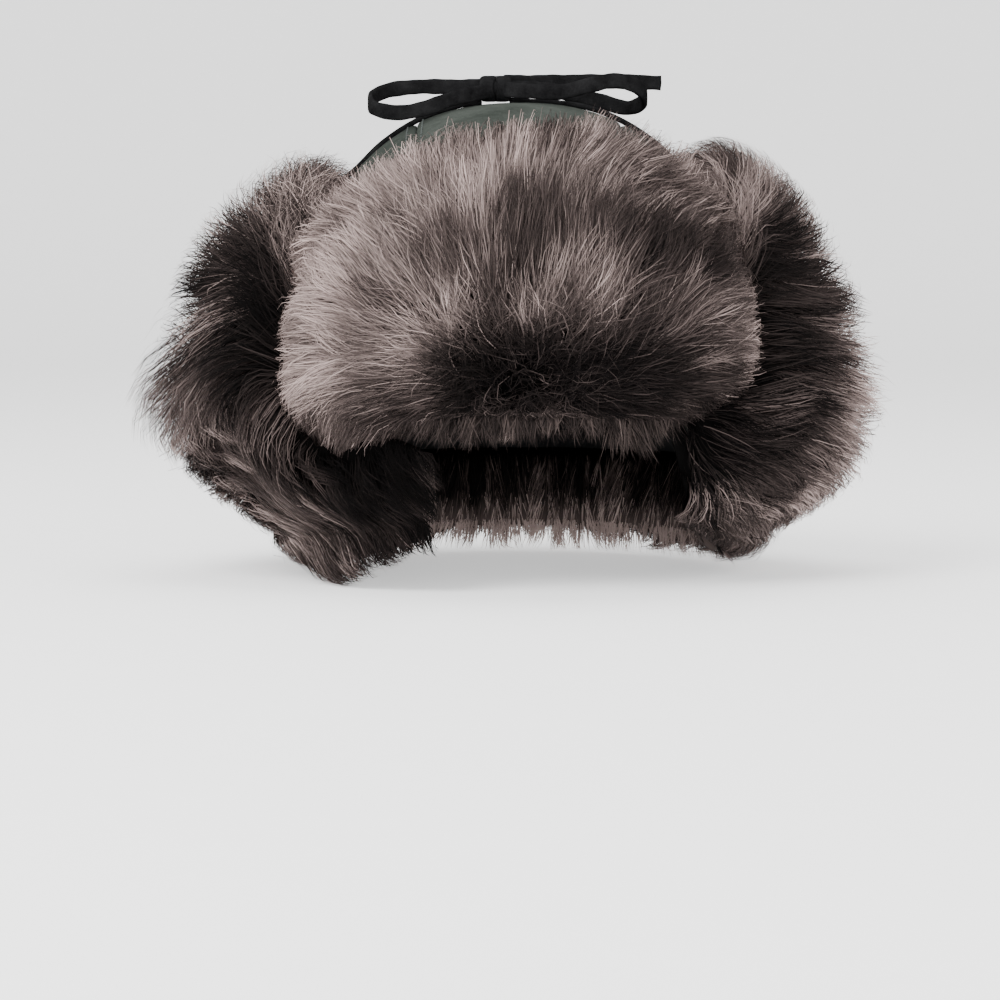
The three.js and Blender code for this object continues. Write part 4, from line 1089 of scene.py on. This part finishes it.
def hair_reach(rng, flap, angle, share, locks, nearest, crest, full=0.0, low=0.0, front=0.0):
    """At which shares of the pile each hair starts and ends, and which hairs are strays. The ends are raised by crest
    along the top edge, by full above the middle, by low near the fold behind the cheeks, and by front beside the
    brow flap."""
    count = len(angle)
    first, last = flap["rows"]["angle"][[0, -1]]
    at_top = ease(share, 0.75, 1.05)
    tip = rng.uniform(0.85, 1.12, locks)[nearest] * rng.uniform(0.72, 1.06, count)
    stray = rng.uniform(0, 1, count) < 0.05
    tip = np.where(stray, tip * rng.uniform(1.05, 1.25, count), tip)
    from_end = np.minimum(angle - first, last - angle)
    tip = tip * (1 + 0.8 * (1 - ease(from_end, 0, 8)) * (flap["ends_over"] > 0)) * (1 + crest * at_top)
    upper = ease(share, 0.4, 0.6) * (1 - ease(share, 0.8, 1))
    lower = ease(share, -0.08, 0.05) * (1 - ease(share, 0.1, 0.4))
    near_front = 1 - ease(np.abs(angle), 50, 62)
    raised = 1 + full * upper + low * lower * ease(np.abs(angle), 62, 80)
    tip = tip * (raised + front * near_front * ease(share, 0.3, 0.7))
    # Low at the sides of the brow the hairs are of uneven length, and their tips hang over the ear flaps.
    is_brow = first < 0 < last
    corner = (1 - ease(share, -0.02, 0.12)) * ease(np.abs(angle), 26, 38) * is_brow
    farthest = FARTHEST["anywhere"] + FARTHEST["more_on_the_brow"] * is_brow * at_top
    tip = np.minimum(tip * (1 + 0.45 * corner * rng.uniform(-0.6, 1, count)), farthest)
    # At the ear flaps' front ends the hairs are of very uneven length, so the edge isn't a clean line.
    front_end = (from_end < 6) & (np.abs(angle) < 50)
    tip = np.where(front_end, tip * rng.uniform(0.2, 1.0, count), tip)
    root = np.where(from_end < 4, rng.uniform(0.0, 0.6, count), 0.26)
    return root, tip, stray


print("hairs end at most at", FARTHEST["anywhere"], "times the pile, and more along the brow's top edge")

# %% How light the hairs are
def hair_tones(rng, combed_tone, frizz, lock_angle, lock_share, nearest, streaks):
    """The comb's tone made uneven by broad patches, by locks and by single hairs, less where it is dark. Among tangled
    hairs some are lighter."""
    patches = np.sin(lock_angle * 0.19 + 7 * lock_share) * np.sin(lock_angle * 0.11 - 11 * lock_share + 2)
    by_lock = 0.1 * patches + rng.normal(0, streaks, len(lock_angle))
    uneven = by_lock[nearest] + rng.normal(0, 0.08, len(nearest))
    tone = combed_tone + uneven * np.clip(0.3 + 2.5 * combed_tone, 0, 1)
    return tone + 0.22 * (rng.uniform(0, 1, len(nearest)) < 0.25 * np.clip(frizz - 0.1, 0, 0.4))


sample = hair_tones(np.random.default_rng(0), np.full(500, 0.5), 0.1, np.arange(50), 0.5, np.arange(500) // 10, 0.1)
print("500 hairs combed at tone 0.5 spread by", sample.std().round(2))

# %% Growing
STEPS = 4
TAPER = np.array([0.8, 1.0, 0.95, 0.7])[:, None]


def grow(flap, comb, count, locks, seed, crest, keep=None, wide=0.37, streaks=0.09, **reach):
    """Roots are strewn, each finds its lock, and both walk along the comb. A hair is its own walk at the root and its
    lock's walk towards the tip, it rises through the pile as it goes, and it sways more where it is tangled."""
    rng = np.random.default_rng(seed)
    angle, share = strew(rng, flap, count, keep)
    lock_angle, lock_share = strew(rng, flap, locks, keep)
    count, locks = len(angle), len(lock_angle)
    tall = flap_height(flap, angle)
    nearest = nearest_lock(angle, share, tall, lock_angle, lock_share)
    lock_swing = rng.normal(0, 0.2, locks)
    lock_walk, _ = walk(flap, comb, lock_angle, lock_share, STEPS, lock_swing, rng.uniform(0.9, 1.12, locks))
    frizz = combed(comb, angle, share, tall)["frizz"]
    swing = lock_swing[nearest] * 0.7 + rng.normal(0, 0.07, count) + rng.normal(0, 1.0, count) * frizz
    at_top = ease(share, 0.75, 1.05)
    stretch = rng.uniform(0.75, 1.1, count) * (1 - 0.5 * at_top * min(1, 2 * crest))
    own_walk, own_comb = walk(flap, comb, angle, share, STEPS, swing, stretch)
    t = np.linspace(0, 1, STEPS + 1)[:, None]
    pull = rng.uniform(0.3, 0.85, locks)[nearest] * (1 - 0.8 * np.clip(frizz * 2, 0, 1))
    gather = pull * (1 - 0.6 * at_top) * t**1.5
    a, s = own_walk * (1 - gather) + lock_walk[:, :, nearest] * gather
    root, tip, stray = hair_reach(rng, flap, angle, share, locks, nearest, crest, **reach)
    pile = root + (tip - root) * (1 - (1 - t) ** 1.8)
    line = fur_point(flap, a, s, pile)
    round_to = fur_point(flap, a + 0.5, s, pile) - line
    out = unit(np.cross(round_to, fur_point(flap, a, s + 0.01, pile) - line))
    side = unit(np.cross(out, np.gradient(line, axis=0)))
    turn = 2 * np.pi * (t * rng.uniform(0.5, 1.1, count) + rng.uniform(0, 1, count))
    sway = (0.4 + 3.5 * frizz) * t
    line = line + side * (np.sin(turn) * sway)[..., None] + out * (np.cos(turn) * sway * 0.5)[..., None]
    line[..., 2] = above_floor(line[..., 2])
    width = TAPER * wide * rng.uniform(0.7, 1.25, count)
    width = np.where(stray, width * 0.6, width) * (1 - 0.35 * at_top)
    tone = hair_tones(rng, own_comb["tone"], frizz, lock_angle, lock_share, nearest, streaks)
    points, triangles = ribbons(line, out, width, rng.normal(0, 0.5, count))
    return points, triangles, hair_places(tone, STEPS)


print("hairs taper over their steps as", TAPER[:, 0].tolist())


# %% One flap's fur
PAD_SHARE = 0.48  # the dense fur's share of the pile


def furry(name, flap, comb, count, locks, seed, crest, solid, keep=None, **looks):
    """A flap's fur: the dark pad and the hairs on it, as one piece."""
    first, last = flap["rows"]["angle"][[0, -1]]
    pad = fur_floor(flap, PAD_SHARE, first + 2, last - 2)
    if keep is not None:
        inside = keep(pad[0][pad[1]].mean(1))
        pad = pad[0], pad[1][inside]
    points, triangles, spots = grow(flap, comb, count, locks, seed, crest, keep, **looks)
    made = piece(name, *join(pad, (points, triangles)), FUR, [solid], closed=False)
    # The pad gets the near-black tone at the root end: the undercoat's own dark colour, and painted shade deep in the
    # fur.
    under = np.tile([0.05, 0.05], (len(pad[0]), 1))
    paint(made, np.vstack([under, spots]))
    print(" ", len(spots) // (2 * STEPS + 1), "hairs")


# %% [markdown]
# ## Where the furs meet
# Seen from the front, the brow flap's fur ends along a line over the face, and the ear flaps' fur runs on below it to
# the cheeks. Roots on the wrong side of that line are left out.

# %% The four flaps' fur
BROW_EDGE = table(
    "x z", (-120, 48), (-92, 50), (-73, 41), (-48, 56), (-28, 65), (0, 69), (60, 65), (92, 66), (120, 74),
)


def above_edge(points):
    """How far points lie above the brow fur's lower edge, in mm."""
    return points[..., 2] - np.interp(points[..., 0], BROW_EDGE["x"], BROW_EDGE["z"])


def above_face(points):
    """True where the brow's hairs may be rooted: from 11 mm below its lower edge upwards."""
    return above_edge(points) > -11


def beside_brow(points):
    """True beside the brow flap, and in front of it below 14 mm above its lower edge."""
    x, y, _ = np.moveaxis(points, -1, 0)
    round_to = np.abs(np.degrees(np.arctan2(x / CROWN["half_width"], -y / CROWN["half_length"])))
    return (round_to > 56) | (above_edge(points) < 14)


LEFT_LOOKS = {"streaks": 0.16, "full": 0.14, "low": 0.3, "front": 0.5}
RIGHT_LOOKS = {"streaks": 0.17, "full": 0.34, "front": 0.55}
furry("brow_fur", BROW, BROW_COMB, 27800, 1300, 1, 0.9, "front_flap_fur", above_face)
furry("brow_over_fur", BROW, BROW_COMB, 15000, 1000, 6, 0.9, "front_flap_fur", above_face, wide=0.32)
furry("left_ear_fur", LEFT_EAR, LEFT_COMB, 26800, 1200, 2, 0.5, "ear_fur_left", beside_brow, **LEFT_LOOKS)
furry("right_ear_fur", RIGHT_EAR, RIGHT_COMB, 26800, 1200, 3, 0.12, "ear_fur_right", beside_brow, **RIGHT_LOOKS)
furry("nape_fur", NECK, NECK_COMB, 13500, 900, 4, 0.3, "neck_fur", wide=0.55)

# %% [markdown]
# ## The fur round the opening
# Inside the edge of the opening runs a band of shorter brown fur. It shows under the brow flap, and from the front
# its back half hangs below the nape. Its hairs point down, and fan a little to both sides. Between the brow flap's
# fold and the opening hangs a fringe of the same hairs. Both are placed by chance on a plain ring, because they're
# too short for a comb to show.

# %% The ring
RING = {"front_band": 20.0, "back_band": 30.0, "drop": 8.0, "depth": 9.0}
INSIDE = CROWN["wall"] + GAP + LINING_WALL  # the lining's inner face, from the crown's outer one


def ring_point(angle, inward, height):
    """A point that far inside the crown's drum, at a height."""
    point = crown_point(angle, CROWN["shoulder"] + 0 * angle, -inward)
    point[..., 2] = height
    return point


def ring_section(angle):
    """The pad's section at each angle, a loop of eight points, and how high the band of fur is there."""
    rim = rim_height(angle)
    away = from_front(angle)
    band = RING["front_band"] + (RING["back_band"] - RING["front_band"]) * ease(away, 60, 120)
    drop, depth = 0.7 * RING["drop"], 0.7 * RING["depth"]
    loop = [
        (INSIDE, rim + band), (INSIDE, rim), (1, rim), (1, rim - 0.6 * drop), (INSIDE, rim - drop),
        (INSIDE + 0.8 * depth, rim - 0.4 * drop), (INSIDE + depth, rim + 0.4 * band),
        (INSIDE + 0.6 * depth, rim + 0.85 * band),
    ]
    return np.stack([ring_point(angle, inward + 0 * angle, height) for inward, height in loop], 1), band


ring_angles = np.arange(0, 360, 2.5)
section, _ = ring_section(ring_angles)
pad = section.reshape(-1, 3), cells(*section.shape[:2], round_rows=True, round_columns=True)
print("the pad round the opening has", len(pad[1]), "triangles")

# %% Rim hairs
rng = np.random.default_rng(5)
count, locks, rim_steps = 15000, 200, 3
angle = rng.uniform(0, 360, count)
lock_angle = np.sort(rng.uniform(0, 360, locks))
nearest = np.clip(np.searchsorted(lock_angle, angle), 0, locks - 1)
rim = rim_height(angle)
_, band = ring_section(angle)
up = rng.uniform(0, 1, count) ** 1.3
at_edge = up < 0.12  # the lowest roots stand on the edge itself, and lean outwards
inward = INSIDE + 6.0 * np.sin(np.pi * up * 0.8) - 4.0 * at_edge
height = rim - 4 + (band + 2) * up
t = np.linspace(0, 1, rim_steps + 1)[:, None]
behind = ease(from_front(angle), 75, 125)
length = (6 + 9 * behind) * rng.uniform(0.75, 1.15, count) * rng.uniform(0.65, 1.3, locks)[nearest]
fan = rng.normal(0, 0.4, locks)[nearest] + rng.normal(0, 0.25, count)
in_out = 0.25 * up + rng.normal(0.02, 0.14, count) - 0.25 * at_edge
gather = 0.45 * t**1.5 * rng.uniform(0.2, 1, locks)[nearest]
turned = angle + gather * (lock_angle[nearest] - angle) + np.degrees(fan) * t * length / 180
down = length * t * np.sqrt(np.clip(1 - in_out**2, 0.2, 1))
line = ring_point(turned, inward + in_out * length * t - 1.5 * t**2, height - down)
line[..., 2] = np.maximum(line[..., 2], 0.5)
TOWARDS = INSIDE + 12  # hairs face a ring this far inside the crown
out = unit(ring_point(turned, TOWARDS + 0 * turned, height + 0 * t) - line)
taper = 0.4 * np.array([0.85, 1.0, 0.8])[:, None]
width = taper * rng.uniform(0.7, 1.2, count)
points, triangles = ribbons(line, out, width, rng.normal(0, 0.5, count))
# The rim hairs' tone holds painted light and shade: it is raised at the back of the opening, which lies in the hat's
# shadow, and it falls the higher a hair is rooted, as painted shade inside the crown.
tone = 0.12 + (0.95 - ease(up, 0.2, 0.7)) * behind + rng.normal(0, 0.18, locks)[nearest] + rng.normal(0, 0.16, count)
print(count, "rim hairs of", round(float(length.min())), "to", round(float(length.max())), "mm")

# %% The fringe
# The fringe is longest at a tuft on the wearer's left of the middle.
FRINGE = table("angle mm", (-42, 11), (-20, 10), (0, 10), (14, 11), (24, 20), (29, 15), (34, 8), (40, 6))
hung = 3200
angle = rng.uniform(-42, 40, hung)
clump = np.round(angle / 2.6 + rng.normal(0, 0.25, hung)) * 2.6
long = column(FRINGE, angle, "mm") * rng.uniform(0.6, 1.15, hung) * (1 + 0.3 * np.sin(clump * 2.3))
out_by = rng.uniform(-10, 2, hung)
starts = rng.uniform(1, 6, hung)
aside = 0.35 * np.sin(clump * 1.3) + 0.02 * angle + rng.normal(0, 0.25, hung)
turned = angle + 0.7 * t**1.5 * (clump - angle) + aside * long * t / MM_PER_DEGREE
fringe = ring_point(turned, out_by + 1.5 * t, rim_height(angle) + starts - long * t)
face = unit(ring_point(turned, TOWARDS + 0 * turned, fringe[..., 2]) - fringe)
thin = taper * rng.uniform(0.7, 1.2, hung)
fringe_mesh = ribbons(fringe, face, thin, rng.normal(0, 0.5, hung))
fringe_tone = 0.27 + 0.08 * np.sin(clump * 1.7) + rng.normal(0, 0.09, hung)
# The ring's pad is lighter low down and near-black higher up: painted shade inside the crown.
rim_pad_painted_shade = 0.05 + 0.33 * (1 - ease(pad[0][:, 2], 14, 34))
places = [np.stack([rim_pad_painted_shade, 1.2 * rim_pad_painted_shade], -1), hair_places(tone, rim_steps), hair_places(fringe_tone, rim_steps)]
rim_fur = piece("rim_fur_hair", *join(pad, (points, triangles), fringe_mesh), RIM_FUR, ["rim_fur"], closed=False)
paint(rim_fur, np.vstack(places))

# %% [markdown]
# ## Floor and light
# The photograph is a soft studio picture on white. The floor is one pale sheet that curves up far away on all sides,
# and large lamps and a bright sky give shadows that hardly show.

# %% The floor's sheet and look
spokes = 96
turn = np.linspace(0, 2 * np.pi, spokes, endpoint=False)[None, :]
run = np.concatenate([[0.02], np.linspace(0.4, 4, 10), np.linspace(4, 6, 24)[1:]])[:, None]
lift = 2.2 * (1 - np.cos(np.clip((run - 4) / 2, 0, 1) * np.pi / 2))
sheet = np.stack(np.broadcast_arrays(run * np.cos(turn), run * np.sin(turn), lift), -1)
FLOOR, floor_shader = material("floor", 0.9, 0.1)
node, link = links_of(FLOOR.node_tree)
speck = node("ShaderNodeTexNoise", Scale=40.0)
link(node("ShaderNodeTexCoord"), "Object", speck, "Vector")
pale = ramp(node, (0.90, 0.90, 0.90), (0.93, 0.93, 0.93))
link(speck, "Fac", pale, "Fac")
link(pale, "Color", floor_shader, "Base Color")
link(pale, "Color", floor_shader, "Emission Color")
floor_shader.inputs["Emission Strength"].default_value = 0.7
print("the floor's edge rises to", float(lift.max()), "m")

# %% The floor
mesh = bpy.data.meshes.new("floor")
ring = cells(*sheet.shape[:2], round_columns=True)
hub = [[0, k, k + 1] for k in range(1, spokes - 1)]
mesh.from_pydata([tuple(p) for p in sheet.reshape(-1, 3)], [], ring.tolist() + hub)
mesh.polygons.foreach_set("use_smooth", np.full(len(mesh.polygons), True))
mesh.materials.append(FLOOR)
floor = bpy.data.objects.new("floor", mesh)
bpy.context.scene.collection.objects.link(floor)
print("the floor reaches", float(run.max()), "m and has", len(mesh.polygons), "faces")

# %% The light
world = bpy.data.worlds.new("studio")
world.use_nodes = True
world.node_tree.nodes["Background"].inputs["Color"].default_value = (1.0, 1.0, 1.0, 1)
world.node_tree.nodes["Background"].inputs["Strength"].default_value = 1.0
bpy.context.scene.world = world
for name, where, size, watts in (
    ("key", (-0.9, -1.3, 1.4), 1.2, 48), ("fill", (1.3, -1.2, 0.7), 1.4, 10), ("top", (0.0, 0.3, 1.8), 1.6, 16),
    ("low", (0.1, -2.6, 0.5), 1.0, 34),
):
    light = bpy.data.lights.new(name, "AREA")
    light.shape = "DISK"
    light.size = size
    light.energy = watts
    lamp = bpy.data.objects.new(name, light)
    lamp.location = where
    lamp.rotation_euler = (-(Vector(where) - Vector((0, 0, 0.1)))).to_track_quat("-Z", "Y").to_euler()
    bpy.context.scene.collection.objects.link(lamp)
    print(name, "lamp,", watts, "W")
